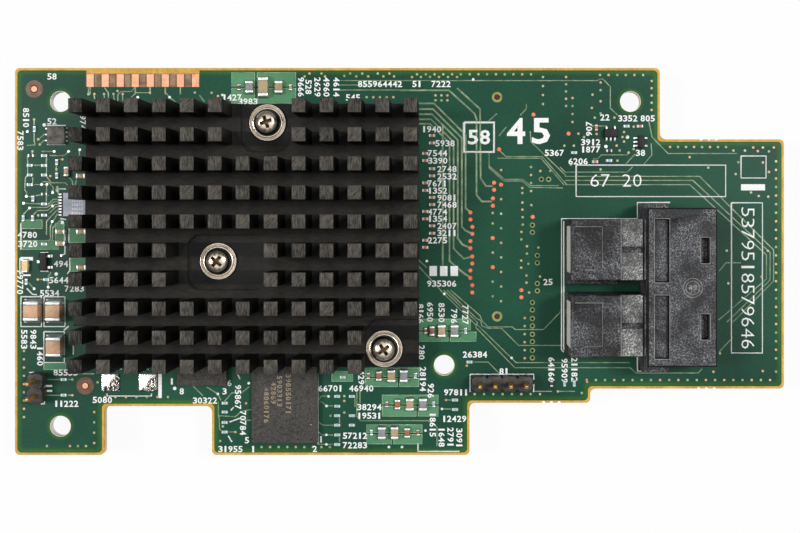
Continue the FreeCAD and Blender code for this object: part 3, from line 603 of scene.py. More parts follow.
POURS = [(231.3, 72.2, 255.2, 86.6), (231.3, 87.8, 255.2, 103.6), (256.8, 72.2, 296.2, 86.6),
         (256.8, 87.8, 296.2, 103.6), (416.6, 318.6, 471, 330.4), (416.6, 331.6, 448.6, 341.8),
         (449.8, 331.6, 476.5, 341.8), (364.8, 367.5, 419.3, 376.8), (364.8, 378, 397.9, 387),
         (399.1, 378, 419.3, 387), (381.8, 394.6, 438.6, 404.4), (381.8, 405.6, 416.6, 416.6),
         (417.8, 405.6, 438.6, 416.6), (366.3, 424.3, 422.5, 432.9), (366.3, 434.1, 392.1, 444.3),
         (393.3, 434.1, 422.5, 444.3), (331.4, 371, 353.2, 381.8), (21.3, 219.5, 42.7, 229),
         (21.3, 240, 59, 249.8), (55, 223, 64.5, 246), (69, 228.5, 85.5, 243), (70, 257.8, 85.5, 271.8),
         (43.4, 362.3, 66.3, 370)]
bm = bmesh.new()
for area in POURS:
    plate(bm, *area, SURFACE, SURFACE + FILM)
rims = [spots(frame_run(x0 + 0.5, y0 + 0.5, x1 - 0.5, y1 - 0.5)) for x0, y0, x1, y1 in POURS]
strips(bm, rims, 0.13, SURFACE + FILM, 0.008, 1)
piece("mint_pours", bm, [POUR, POUR_RIM])

# the strip of bare laminate round the contact strip
FINGERS = [5.03 + 2.54 * i for i in range(8)]
STRIP_CORNERS = [(86.5, 87), (199.5, 73.6)]
bm = bmesh.new()
a, b = spots(STRIP_CORNERS)
block(bm, (*a, TOP), (*b, SURFACE + FILM))
# painted shade: a dark line down each side of every contact finger
for x in FINGERS:
    for shade_x in (x - 0.72, x + 0.72):
        block(bm, (shade_x - 0.06, a[1], SURFACE), (shade_x + 0.06, b[1], SURFACE + 0.02), finish=1)
block(bm, (a[0], b[1], SURFACE), (b[0], 5.6, SURFACE + FILM), finish=2)
piece("bare_strip", bm, [BARE, FINGER_SIDE_SHADE, LAMINATE])


# conductors

WIDE_RUNS = [
    [(442.7, 124), (442.7, 265)],
    [(418.5, 123.8), (430, 123.8), (449.5, 143), (449.5, 261), (463.8, 273.3), (470.8, 277.8)],
    [(418.5, 119.3), (431, 119.3), (453.6, 142), (453.6, 248.5), (463.8, 258.7), (472.3, 256.5)],
    [(418.5, 114.2), (432, 114.2), (457.7, 140), (457.7, 238.3), (462.5, 244.6), (470.6, 248.2)],
    [(418.5, 109.1), (433, 109.1), (461.8, 138), (461.8, 226.8), (465.5, 230.6), (472.3, 233.8)],
    [(418.5, 103.4), (434, 103.4), (465.6, 135), (465.6, 208), (470.6, 212.4)],
    [(400, 90.3), (449, 90.3), (474.5, 113.6), (476.5, 119), (476.5, 195), (482, 201.5), (492, 201.5)],
    [(457, 88), (480, 109), (480.6, 178), (486, 186), (493, 186)]]

FINE_RUNS = [
    [(333, 80.6), (597.5, 80.6), (600, 79), (602.9, 79), (610.2, 86.7), (610.2, 108.2), (617.4, 115)],
    [(333, 85), (400, 85)], [(333, 90), (400, 90)], [(289.8, 104), (289.8, 98), (296, 98)],
    [(489, 152.5), (489, 165.9), (504.6, 179.3), (522.4, 179.3), (530.1, 185.6), (558.8, 185.6)],
    [(489, 156), (489, 167.6), (504, 181), (521.8, 181), (529.5, 187.3), (563, 188)],
    [(498.2, 149.3), (505.9, 156.6), (542.2, 156.6), (566.5, 184.4)],
    [(497.7, 158.2), (541, 158.2), (564, 184.8)],
    [(530.1, 131.4), (530.7, 141.6), (565.8, 175.5)],
    [(560, 167.1), (565.4, 172.1), (627.4, 172.1), (632.7, 166.6)],
    [(592.9, 159), (597.5, 159), (601.3, 154.9), (627.4, 154.9), (628.9, 152.9)],
    [(635, 154.1), (625.8, 164)], [(651.1, 143.4), (651.8, 154.9), (643.4, 164.8)],
    [(606, 126), (591.4, 126)],
    [(565, 176.4), (699.6, 176.4), (773.6, 250), (773.6, 281), (733, 322)],
    [(565, 180.4), (692.9, 180.4), (770, 252.5), (770, 280), (727, 322)],
    [(565, 184.7), (689.8, 184.7), (766.4, 255), (766.4, 279), (718.6, 320)],
    [(648, 118), (652, 137), (668, 153.5), (737, 153.5)],
    [(418.5, 260), (426.8, 267.6)],
    [(418.5, 266), (444, 293.8)],
    [(447, 290), (476.5, 318.5), (480.6, 320.4), (482, 326), (488, 328.2), (501.4, 328.2), (518.6, 345.4),
     (560.7, 345.4)],
    [(450.5, 290), (480, 315.5), (482, 320.8), (488, 326.9), (512.2, 326.9), (515.4, 329.5), (543.5, 329.5),
     (560.7, 311.6)],
    [(443.5, 290), (477.5, 322.5), (476.5, 324), (516.1, 362.6), (630, 362.6)],
    [(440, 290), (476, 325), (475.9, 327.5), (514.8, 367.7), (630, 367.7), (636, 373), (698, 373),
     (702, 369)],
    [(469.9, 362), (488, 362), (500.1, 374.1)],
    [(532.7, 391.3), (552, 391.3)], [(558, 391.3), (575, 391.3)]]

# from the contact strip, between the tiny parts on the left, and round the flash chip
SHORT_RUNS = [
    [(88.6, 87.6), (88.4, 94.3)], [(104.6, 87.6), (108.4, 92.7), (108.7, 97.8)], [(94.4, 94), (94.6, 99)],
    [(104, 94), (104.6, 97.8)], [(113.5, 94), (114.4, 100.4)],
    [(134.9, 87.6), (131.4, 91.5), (121.2, 91.5), (118, 94.6), (118, 101)],
    [(149.9, 87.6), (149.9, 92.7), (135.8, 92.7), (131.4, 97.4)], [(122.8, 94), (122.8, 101)],
    [(165.2, 87.6), (165.2, 92), (169.6, 97.2), (175.4, 101.7)], [(199.4, 95), (204.5, 101.7)],
    [(34.2, 119.5), (34.2, 140.6), (35, 145), (26.8, 145.4)], [(38.3, 139.9), (44, 134.4), (47.2, 134.4)],
    [(39.8, 144.4), (44, 140.6), (47.2, 140.6)], [(41.5, 151.4), (54.2, 151.4)],
    [(49.7, 155.6), (64.4, 155.6), (68.6, 151.4)], [(79.7, 149.7), (79.7, 155.9)],
    [(32.5, 151.4), (32.5, 155)],
    [(27.8, 155.6), (27.8, 175), (25.5, 178), (25, 190), (27, 193), (26.4, 196.3), (33, 197)],
    [(46.6, 155.6), (46.6, 176), (51, 182.7), (65, 182.7), (67.6, 185.2)], [(33.8, 165.2), (41, 165.2)],
    [(32.8, 177.6), (32.8, 184.6), (46.6, 184.6), (46.6, 203.9)],
    [(42.7, 181.4), (48.5, 182), (53.6, 187.8), (52.3, 192.2)], [(57.4, 187.1), (56.1, 190.3), (60, 195.4)],
    [(58.7, 159.4), (62.5, 159.4)], [(56.4, 165), (56.4, 172)], [(69.5, 177.6), (72.7, 181.4), (73, 185.2)],
    [(76.5, 180), (75.3, 185.2)], [(60, 199.4), (53, 199.4), (48.5, 204.2)],
    [(60, 201.7), (54.2, 201.7), (47.2, 207.4), (30, 207.4), (23.6, 214.4)],
    [(60, 204.3), (54.8, 204.5), (47.8, 210.4), (37.6, 210.6), (33.4, 215)],
    [(60, 206.4), (56.1, 206.8), (49.1, 213.4)], [(60, 210), (56.8, 210.2), (46.6, 221.5), (46.6, 234.8)],
    [(60, 214.4), (56.8, 214.4), (54.8, 218.9), (52.3, 221.5), (50.4, 227.2), (50.6, 238.7), (46.6, 243.8)],
    [(62.5, 219.5), (57.4, 222.7), (52.9, 227.8), (52.5, 247.6)], [(35.7, 196), (41.5, 194.3)],
    [(24.2, 203.2), (41.5, 203.9)], [(50.6, 271.8), (50.6, 274), (48.5, 276), (48.2, 287.1)],
    [(27.4, 281.4), (34.2, 288.7)], [(37.9, 279.5), (43, 279.5)], [(45.9, 379.5), (72.4, 379.5)],
    [(45.9, 395.2), (72.4, 395.2)], [(76.5, 373.8), (94.4, 373.8)],
    [(206.8, 387.1), (217.9, 393.9), (221, 400.5)], [(193.4, 386.3), (203.2, 396)],
    [(224.6, 401.4), (231.8, 392.9), (241.6, 392.9), (249.6, 386.3)],
    [(218.4, 401.4), (218.4, 415.7), (235.4, 416.6), (241.6, 411.3), (251.4, 409.5)],
    [(219, 416), (219.6, 429), (222.9, 432)], [(240.7, 420.2), (251.4, 420.2)], [(228.2, 432), (235.4, 432)],
    [(318.4, 400.5), (321.1, 396.1), (327, 396.1)], [(321, 401.5), (326.4, 405.5), (333, 406)],
    [(318.4, 422), (322.9, 425.2), (333.6, 425.2)], [(318.4, 431.8), (322, 435), (333, 435)],
    [(318.4, 444.3), (333, 444.3)], [(339.5, 417.5), (339.5, 423)], [(339.5, 437), (339.5, 442)],
    [(356.8, 389), (356.8, 416), (360.4, 420.7), (428.2, 420.7), (437, 427), (437, 446)],
    [(360, 389), (360, 403)], [(355, 396), (355, 406.8)], [(446, 400), (451, 400)],
    [(442, 408.9), (451, 409)],
    [(719, 271.2), (726, 262.8), (741, 262.8)], [(719, 352), (733, 337)],
    [(526.4, 104.3), (526.4, 108.6), (520.3, 115.2)], [(496.8, 113.7), (487.4, 122)],
    [(506.4, 127), (498.8, 136)]]

bm = bmesh.new()
strips(bm, [spots(run) for run in WIDE_RUNS], 0.3, SURFACE, 0.015)
strips(bm, [spots(run) for run in FINE_RUNS], 0.17, SURFACE, 0.012)
strips(bm, [spots(run) for run in SHORT_RUNS], 0.19, SURFACE, 0.014)
strips(bm, [[(x, 2.5), (x, 1.2)] for x in FINGERS[:1] + FINGERS[3:7]], 0.22, SURFACE, 0.015)
piece("traces", bm, [TRACE], smooth=30)


def row(x0, y0, x1, y1, count):
    """Evenly spaced pixels from one end to the other."""
    return [(x0 + (x1 - x0) * i / (count - 1), y0 + (y1 - y0) * i / (count - 1)) for i in range(count)]


TEST_DOTS = [(470.4, 212.4), (472.3, 226.8), (472.3, 233.8), (470.4, 219.5), (470.4, 241.1), (470.4, 248.2),
             (472.3, 256.5), (472.3, 263.5), (470.4, 270.5), (470.4, 277.9), (472.3, 285.2), (472.3, 292.5),
             (494.1, 182.7), (494.1, 189.8), (501.1, 184.7), (492.9, 198.4), (492.9, 205.7), (499.1, 149.3),
             (533.5, 114.6), (568.6, 133.6), (532.7, 216.9), (492.7, 238), (492.7, 267.2), (521.4, 290.2),
             (521.4, 297.3)]
DRILLED = [(532.4, y) for y in (225.1, 232.3, 302.4, 309.9, 318.6, 325.9, 334.3, 341.6, 350.5, 357.8)]
DRILLED += [(537.3, y) for y in (255.5, 262.8, 283.5, 290.8)] + [(541.3, 179.3), (548.6, 179.3)]
VIAS = row(417, 74.3, 531, 74.3, 14) + row(412, 77, 457, 77, 6) + row(543, 77, 543, 104, 4)
VIAS += row(566, 77, 566, 106, 5) + row(572.5, 98, 572.5, 122, 4) + row(651.6, 81, 651.6, 110, 5)
VIAS += row(600, 75, 643, 75, 6) + row(670, 147, 726, 147, 8) + row(501.1, 170, 501.1, 301.1, 10)
VIAS += row(492.7, 213, 492.7, 223.3, 2) + [(492.7, 252.6), (492.7, 281.6), (492.7, 296.3)]
VIAS += [(522.4, 202.6), (531.4, 205.1), (522.4, 209.6), (522.7, 217.2), (522.7, 224.6), (521.4, 231.9),
         (521.4, 239.3), (527, 246.3), (538.4, 247.6), (527, 253.6), (521.2, 260.6), (528.4, 263.8),
         (521.2, 267.6), (526.5, 275.5), (540, 276.5), (526.5, 282.7), (529.1, 292.5)]
VIAS += row(524.7, 318, 524.7, 358.2, 6) + row(776, 161.3, 776, 358.3, 24) + row(586.7, 380, 770, 380, 21)
VIAS += row(24, 351, 24, 417, 9) + row(94.2, 412, 94.2, 443, 4) + [(47, 446), (70, 446), (78, 446), (86, 446)]
VIAS += row(105, 397, 168, 397, 7) + row(474.6, 394.1, 540, 394.1, 8) + row(253, 447, 330, 447, 10)
VIAS += row(435.5, 95.4, 447.4, 95.4, 3) + row(435.5, 100.3, 447.4, 100.3, 3) + row(531, 167, 531, 191, 4)
VIAS += [(540.3, 171), (550.2, 171), (522.3, 188), (522.3, 193), (614.4, 117.6), (596.6, 134), (584, 137),
         (624, 132), (622.4, 137), (624, 141.6), (616.6, 145.6), (619.6, 150.4), (628.6, 152.6),
         (617.4, 160.6), (571, 164.6), (633.6, 126.6), (633.6, 149), (466.8, 365.6), (557.9, 391.3),
         (581.8, 393), (587.1, 381.8)]
VIAS += [(88.4, 94.3), (94.4, 94), (104, 94), (113.5, 94), (122.8, 94), (117.6, 91), (149.9, 92.7),
         (194.9, 92.5), (211.6, 92.8), (218, 96), (34.2, 119.5), (38.3, 139.3), (39.8, 144.4),
         (32.5, 151.4), (62.5, 159.4), (56.4, 169.3), (50.4, 176), (57.4, 187.1), (38.3, 215.3),
         (37.9, 279.5), (72.4, 379.5), (72.4, 395.2), (97.6, 382.3), (592.5, 94.7), (591.8, 107.9),
         (594.7, 117.7), (578.4, 133.7), (564.3, 145.7), (573.8, 145.7), (600.6, 82.5), (600.6, 90.1),
         (600.6, 101.3), (600.6, 113.5), (600.6, 169.4), (753.2, 147.5), (762.8, 147.5), (773.8, 147.5),
         (733.4, 150.6), (744.9, 150.6), (757.8, 151), (768.9, 151.3), (689.6, 157.1), (708.2, 167.6),
         (738.3, 162.2), (762.8, 162.5), (735.7, 174), (768.9, 172), (751, 192.4), (768.2, 196.6),
         (758.7, 196), (767.7, 250.7), (761.7, 276.7), (728.3, 283.3), (726.7, 250.7), (762.7, 371),
         (776, 371.7), (713.3, 371.7), (720, 353.3), (304.7, 76.4), (309.5, 73.5), (321.5, 73.5),
         (325, 76.4), (344.3, 75.9), (350.3, 73.5), (356.3, 76.4), (362.3, 73.5), (368.2, 76.4),
         (377.8, 73.5), (383.4, 76.4), (389.4, 73.5), (394.1, 76.4), (235.4, 432), (220.2, 441),
         (222.9, 426.4), (246.1, 403.2), (344.3, 396.1), (344.3, 400.9), (344.3, 412.5), (330.5, 415.7),
         (446, 400)] + row(366.6, 97.2, 393.4, 97.2, 5)
PALE_DOTS = [(444.3, 293.8), (511.6, 357.8), (426.8, 261), (137.8, 97.2), (169.6, 97.2), (222.4, 95),
             (54.2, 151.4), (68.6, 151.4), (79.7, 149.7), (52.6, 192.5), (52.6, 206.1), (41.7, 184.5),
             (47, 184.3), (26.4, 196.3), (23.6, 203.2), (29.6, 208), (52.3, 221.5), (61.2, 255.5),
             (34.2, 288.7), (48.2, 287.1), (27.4, 131.6), (217.9, 393.9), (248.8, 383.2), (442, 408.9),
             (425.5, 430.5), (388.9, 447), (402, 447), (473.2, 79.5), (328.5, 396.3), (326.5, 406),
             (326.4, 434.8), (326.4, 444.3)]

FIDUCIALS = [(34.2, 89), (85.2, 385.8)]
CHIP_LEGS = row(46.4, 128.5, 46.4, 140.5, 3) + row(66.6, 127.9, 66.6, 141, 4)

bm = bmesh.new()
for px, py in TEST_DOTS:
    disc(bm, *spot(px, py), 0.34, SURFACE, SURFACE + 0.02, 14, 0.01, 0)
for i, (px, py) in enumerate(VIAS):
    disc(bm, *spot(px, py), 0.21, SURFACE, SURFACE + 0.015, 12, 0, 7 if i * 7 % 5 < 3 else 1)
for px, py in PALE_DOTS:
    disc(bm, *spot(px, py), 0.22, SURFACE, SURFACE + 0.02, 12, 0, 4)
# each drilled via: a copper ring round a black disc of painted hole shade
for px, py in DRILLED:
    disc(bm, *spot(px, py), 0.44, SURFACE, SURFACE + 0.012, 18, 0, 3)
    disc(bm, *spot(px, py), 0.24, SURFACE, SURFACE + 0.02, 14, 0, 2)
for px, py in FIDUCIALS:
    disc(bm, *spot(px, py), 1.47, SURFACE, SURFACE + FILM, 32, 0, 5)
    disc(bm, *spot(px, py), 0.62, SURFACE, SURFACE + 0.02, 24, 0, 2)
    disc(bm, *spot(px, py), 0.5, SURFACE, SURFACE + 0.03, 24, 0.01, 6)
for px, py in CHIP_LEGS:
    plate(bm, px - 0.9, py - 0.7, px + 0.9, py + 0.7, SURFACE, SURFACE + 0.03, 4)
piece("vias_and_dots", bm, [TEST_DOT, TINNED_VIA, VIA_HOLE_SHADE_AND_PAD_RIM, VIA_RING, SOLDER, FIDUCIAL, COPPER,
                           TENTED_VIA])


# legend

def digit_mesh(digit, weight):
    """One digit, 0.7 by 1 and centred, one unit thick."""
    text = bpy.data.curves.new("digit", "FONT")
    text.body, text.resolution_u, text.extrude, text.offset = digit, 2, 0.5, weight
    mesh = as_mesh(text)
    xs = [v.co.x for v in mesh.vertices]
    ys = [v.co.y for v in mesh.vertices]
    middle = Vector(((min(xs) + max(xs)) / 2, (min(ys) + max(ys)) / 2, 0))
    wide = 0.7 / max(max(xs) - min(xs), 0.45 * (max(ys) - min(ys)))
    mesh.transform(Matrix.Diagonal((wide, 1 / (max(ys) - min(ys)), 1, 1)) @ Matrix.Translation(-middle))
    return mesh


DIGITS = {d: digit_mesh(d, 0.02) for d in "0123456789"}
SLIM = {d: digit_mesh(d, -0.012) for d in "0123456789"}
LEVEL, DOWN, UP = 0.0, -math.pi / 2, math.pi / 2


def number(bm, x, y, count, turn=LEVEL, height=1.06, pitch=0.84, z=SURFACE + FILM, thick=0.012,
           digits=DIGITS):
    """A number of so many digits, centred on x, y."""
    word = str(draw.randint(10 ** (count - 1), 10 ** count - 1))
    place = Matrix.Translation((x, y, z)) @ Matrix.Rotation(turn, 4, "Z")
    for i, digit in enumerate(word):
        step = Matrix.Translation(((i - (count - 1) / 2) * pitch, 0, 0))
        add_mesh(bm, digits[digit], place @ step @ Matrix.Diagonal((height, height, thick, 1)))


LEVEL_NUMBERS = [
    (52, 76.5, 2), (52, 121.4, 2), (27.4, 234.9, 4), (27.8, 243.9, 4), (61, 263.8, 3), (58.8, 280.2, 4),
    (49.6, 293.2, 4), (74.4, 288.6, 4), (65.7, 372.5, 5), (66.3, 403.7, 5), (102.4, 399.9, 4),
    (171.9, 381.4, 1), (181.8, 391.3, 1), (205, 400.5, 5), (224.6, 391.3, 1), (229.5, 383, 1),
    (230.5, 449.1, 5), (247, 440.2, 1), (253.2, 449.1, 1), (314.8, 448.8, 1), (321, 439.3, 1),
    (330.5, 388.4, 5), (361.3, 388.4, 5), (369.3, 407.1, 5), (369.3, 415.7, 5), (355, 435.7, 5),
    (355, 445.2, 5), (474.9, 354.5, 5), (504, 371.3, 2), (456.1, 392.3, 5), (454.2, 418.8, 5),
    (548, 282, 2), (604.9, 117.4, 2), (627.7, 118.4, 4), (647.7, 118.4, 3), (590.6, 142.2, 4),
    (590.6, 149.5, 4), (554.3, 152.9, 4), (578.1, 161.3, 4), (640.4, 152.9, 2), (232, 97.5, 4),
    (248, 101.5, 4), (353, 97.5, 3), (441.7, 283.6, 6)]
LEVEL_NUMBERS += [(x, y, 4) for x, y in [
    (431.6, 129.2), (445, 143.3), (437.5, 153.2), (437.8, 160.7), (447, 169.1), (447, 176.4), (437.2, 183.5),
    (437.5, 190.7), (447, 197.7), (447, 204.7), (437.5, 211.9), (437.5, 218.8), (447, 226), (447, 233),
    (437.5, 240.3)]]
DOWN_NUMBERS = [
    (26.1, 117.6, 4), (20.4, 140.6, 4), (82.9, 120, 4), (20.1, 282, 5), (24.2, 339.3, 4), (33.4, 339.3, 4),
    (40.2, 355.9, 4), (49.1, 388.4, 2), (238, 397, 5), (243, 422.9, 5), (361.3, 377.3, 3), (421.6, 352.3, 3),
    (422.9, 379.1, 5), (430.9, 390.7, 3), (432.7, 424.6, 5), (441.6, 437.1, 4), (450.5, 437.1, 4),
    (459.3, 437.9, 4), (551.4, 369.5, 5), (564.5, 370.6, 5), (574.4, 369.5, 5), (301, 87, 4), (308.5, 87, 3),
    (317.5, 87, 4), (326.5, 87, 4), (336.5, 87, 4),
    (420.5, 313.6, 4), (430, 312, 4), (441.5, 312.5, 4), (454, 316, 3), (465.3, 314.7, 4)]
TOP_NUMBERS = [(380, 84, 9), (417, 84, 2), (441, 84, 4)]
TURNED_NUMBER = (589.1, 128.8)
SIZED_NUMBERS = [               # place, digits, turn, height, pitch, weight
    (600, 180.5, 2, LEVEL, 2.1, 1.8, SLIM), (632, 180.5, 2, LEVEL, 2.1, 1.8, SLIM),
    (747.8, 278, 13, DOWN, 2.2, 1.86, SLIM), (528.5, 131, 2, LEVEL, 4.4, 4.2, DIGITS),
    (479, 137.2, 2, LEVEL, 2.5, 2.0, DIGITS)]
LEGEND_DOTS = [(44.3, 124.9), (62.4, 222.5), (56.3, 274), (174.7, 388.4), (605.9, 146.5), (627.4, 137.1)]
LEGEND_PLATES = [(158.3, 374, 161.8, 398), (741, 184.2, 765, 190.4), (429.5, 266, 437, 276),
                 (440, 266, 447.5, 276), (450.5, 266, 458, 276), (20.5, 257, 33, 260.5),
                 (23, 274.4, 30.6, 276), (29.5, 386.6, 38.5, 390.2)]
LEGEND_RUNS = [
    [(46.8, 125.5), (65.7, 125.5)], [(46.8, 144.5), (65.7, 144.5)],
    frame_run(21, 296.7, 41.5, 326.6), frame_run(44, 296.7, 65, 326.6), frame_run(44, 331.7, 64.4, 362.6),
    [(22.5, 265.5), (29.5, 265.5)], [(20, 258), (20, 275)],
    [(107, 393.5), (107, 396), (151.5, 396), (151.5, 393.5)],
    [(230.9, 410.4), (233.6, 407.1)],
    [(418, 443), (418, 451.4), (459.3, 451.4)],
    [(470.2, 392), (470.2, 374.3), (533.6, 374.3), (533.6, 380)], [(533.6, 384), (533.6, 392)],
    [(561.6, 350), (561.6, 218.7), (637.4, 218.7), (637.4, 202.5), (670, 202.5)],
    [(563.9, 350), (563.9, 221)], [(561.6, 350), (563.9, 352)],
    [(637.5, 357), (637.5, 371), (646, 371)],
    frame_run(741, 156, 766, 178),
    [(29.3, 372.5), (44.6, 372.5), (44.6, 403.8), (40.8, 403.8)], [(58, 191.5), (58, 189), (66, 189)],
    [(60, 218.3), (66, 219.5)], [(65, 229.7), (65, 254), (61.2, 255.5)], [(69, 228.5), (69, 243)],
    [(69.9, 257.8), (69.9, 270.6), (67.6, 273.8)], [(21, 223.4), (21, 249.5)],
    [(40.8, 254), (40.8, 252.7), (48.5, 252.7)], [(40.8, 269.5), (40.8, 271.2), (48.5, 271.2)],
    [(26.8, 288.4), (32.5, 294.2), (37, 294.8)], [(116, 371), (118, 369), (121.8, 369)],
    [(142.9, 371), (144.8, 369), (148.6, 369)], [(73.3, 345.7), (73.3, 354.6)], [(63.8, 330.4), (68.9, 326)],
    [(24.5, 299.7), (39.5, 299.7)], [(46, 299.7), (63, 299.7)], [(24, 322), (40, 322)],
    [(46, 322), (63, 322)], [(46.5, 335.5), (62, 335.5)], [(240.7, 417.9), (229.6, 422)],
    [(228.2, 435.7), (232.1, 442.1)], [(238, 374.5), (240, 379)],
    frame_run(576.1, 165.1, 725.6, 196.6), frame_run(731.3, 202.8, 762.4, 353)]
THIN_RUN = [(318, 373), (318, 444)]
BOLD_FRAME = frame_run(464, 122.5, 494, 152)

bm = bmesh.new()
for px, py, count in LEVEL_NUMBERS:
    number(bm, *spot(px, py), count)
for px, py, count in DOWN_NUMBERS:
    number(bm, *spot(px, py), count, DOWN)
number(bm, *spot(*TURNED_NUMBER), 3, UP)
for px, py, count, turn, height, pitch, digits in SIZED_NUMBERS:
    number(bm, *spot(px, py), count, turn, height, pitch, digits=digits)
for px, py, count in TOP_NUMBERS:
    number(bm, *spot(px, py), count)
for px, py in LEGEND_DOTS:
    disc(bm, *spot(px, py), 0.3, SURFACE, SURFACE + 0.02, 14)
strips(bm, [spots(run) for run in LEGEND_RUNS], 0.27, SURFACE, 0.02)
strips(bm, [spots(THIN_RUN)], 0.13, SURFACE, 0.02)
strips(bm, [spots(BOLD_FRAME)], 0.5, SURFACE, 0.02)
for area in LEGEND_PLATES:
    plate(bm, *area, SURFACE, SURFACE + 0.015)
piece("legend", bm, [LEGEND])


# solder side, drawn mirrored on the component side and then turned over

MIRROR = 114.53                 # x of the board's two sides, added


def turned_over(bm):
    """Turns the mesh to the other side of the board."""
    bmesh.ops.rotate(bm, cent=(MIRROR / 2, 0, TOP / 2), matrix=Matrix.Rotation(math.pi, 3, "Y"),
                     verts=bm.verts)


BUNDLES = [                     # lines in a bundle, step between them, first line
    (8, (0, 0.6), [(68, -14), (60, -14), (52, -22), (30, -22), (20, -12), (2, -12)]),
    (8, (0, 0.5), [(68, -30), (60, -30), (52, -38), (36, -38), (26, -48), (12, -48)]),
    (6, (0, 0.5), [(96, -38.6), (86, -38.6), (82.4, -42.2), (68.5, -42.2)]),
    (8, (0, 0.5), [(80, -8), (90, -8), (98, -16), (117, -16)]),
    (6, (0.7, 0), [(104, -16.5), (112, -24.5), (112, -38), (106, -44), (100, -44)]),
    (5, (0.7, 0), [(0, -6), (0, -20), (5, -25), (5, -44)]),
    (4, (0, 0.6), [(68, 1), (44, 1), (40, -3), (40, -9)])]
EDGE_VIAS = row(20, 72, 640, 72, 60) + row(22, 450, 210, 450, 14) + row(470, 388, 580, 388, 12)
DOTS_BELOW = [(10, -30), (16, -36), (46, -30), (62, -6), (84, -30), (84, -33), (104, -30), (31, -54),
              (60, -54)]
NUMBERS_BELOW = [               # place, digits, height
    (10, -40, 4, 1.1), (18, -44, 5, 1.1), (46, -46, 9, 2.0), (50, -55, 6, 1.6), (62, -26, 3, 1.1),
    (12, -4, 4, 1.1), (90, -30, 3, 1.1), (108, -12.5, 6, 1.6), (104, -35, 4, 1.1), (84, 1, 5, 1.6),
    (20, -30, 3, 1.1), (-4, -30, 2, 1.1), (14, -20, 4, 1.1), (60, -50, 4, 1.1)]
FRAMES_BELOW = [(36, -48.2, 56, -43.8), (101, -14.2, 115, -10.8), (69.6, -39.2, 79.4, 3.4)]

bm, dots = bmesh.new(), bmesh.new()
for count, (dx, dy), run in BUNDLES:
    lines = [[(MIRROR - x - dx * i, y + dy * i) for x, y in run] for i in range(count)]
    strips(bm, lines, 0.2, SURFACE, 0.012)
    for line in lines:
        for end in (line[0], line[-1]):
            disc(dots, *end, 0.24, SURFACE, SURFACE + 0.015, 12)
for i in range(15):
    for j in range(15):
        x, y = 24.5 + i * 1.5, -38.5 + j * 1.5
        off_nut = math.dist((x, y), SCREWS[1]) > 4
        in_grid = y < -23.2 and (x + y < 13.5 or y > -32)
        if off_nut and in_grid and draw.random() < 0.9:
            disc(dots, MIRROR - x, y, 0.22, SURFACE, SURFACE + 0.015, 10)
for px, py in EDGE_VIAS:
    x, y = spot(px, py)
    low_edge = y < -20 and x < 88.6 and not 6.6 < x < 26.3
    high_edge = y > -20 and math.dist((x, y), HOLES[3]) > 3
    if low_edge or high_edge:
        inward = -0.9 if y > 0 else 0.6
        disc(dots, MIRROR - x, y + inward, 0.22, SURFACE, SURFACE + 0.015, 10)
for x, y in DOTS_BELOW:
    disc(dots, MIRROR - x, y, 0.42, SURFACE, SURFACE + 0.02, 16, 0.01, 1)
turned_over(bm)
turned_over(dots)
piece("traces_below", bm, [TRACE], smooth=30)
piece("vias_below", dots, [TINNED_VIA, TEST_DOT])

bm = bmesh.new()
for x, y, count, high in NUMBERS_BELOW:
    number(bm, MIRROR - x, y, count, LEVEL, high, high * 0.8)
for area in FRAMES_BELOW:
    strips(bm, [[(MIRROR - x, y) for x, y in frame_run(*area)]], 0.2, SURFACE, 0.018)
turned_over(bm)
piece("legend_below", bm, [LEGEND])


# heat sink and its screws

softened("heat_sink", [SINK], 0.07, 2)
softened("thermal_pad", [PAD], 0.1)
softened("controller_lid", [LID], 0.15)
softened("controller_substrate", [SUBSTRATE], 0.1)
softened("package_joints", [JOINT], 0.1)
softened("heat_sink_nuts", [NICKEL], 0.2)


def spun(profile, steps=40):
    """A turned shape about the Z axis, from a profile of radius and height."""
    bm = bmesh.new()
    verts = [bm.verts.new((r, 0, z)) for r, z in profile]
    edges = [bm.edges.new(pair) for pair in zip(verts, verts[1:])]
    bmesh.ops.spin(bm, geom=verts + edges, cent=(0, 0, 0), axis=(0, 0, 1), angle=math.tau, steps=steps,
                   use_merge=True, use_normal_flip=False, use_duplicate=False)
    bmesh.ops.remove_doubles(bm, verts=bm.verts, dist=1e-5)
    bmesh.ops.recalc_face_normals(bm, faces=bm.faces)
    return bm


WASHER_TOP = 6.97               # the screw heads sit on it
DOME_TOP = WASHER_TOP + 1.7


def screw_mesh():
    """Pan head with a cross recess, its shank below."""
    z = WASHER_TOP
    head = spun([(0, -2.6), (1.05, -2.6), (1.25, -2.4), (1.25, z), (2.02, z), (2.1, z + 0.08),
                 (2.1, z + 0.72), (1.98, z + 1.0), (1.78, z + 1.22), (1.4, z + 1.5), (0.8, z + 1.66),
                 (0, DOME_TOP)])
    cutter = bmesh.new()
    for turn in (0, math.pi / 2):
        verts = block(cutter, (-1.32, -0.34, z + 0.7), (1.32, 0.34, z + 2.2))
        low = [v for v in verts if v.co.z < z + 1]
        bmesh.ops.scale(cutter, vec=(0.5, 0.6, 1), verts=low)
        bmesh.ops.rotate(cutter, matrix=Matrix.Rotation(turn, 3, "Z"), verts=verts)
    blank = bpy.data.objects.new("blank", mesh_of("head", head))
    cut = bpy.data.objects.new("cut", mesh_of("tool", cutter))
    for thing in (blank, cut):
        bpy.context.scene.collection.objects.link(thing)
    carve = blank.modifiers.new("recess", "BOOLEAN")
    carve.object, carve.operation, carve.solver, carve.use_self = cut, "DIFFERENCE", "EXACT", True
    bpy.context.view_layer.update()
    mesh = bpy.data.meshes.new_from_object(blank.evaluated_get(bpy.context.evaluated_depsgraph_get()))
    for thing in (blank, cut):
        bpy.data.objects.remove(thing)
    return mesh


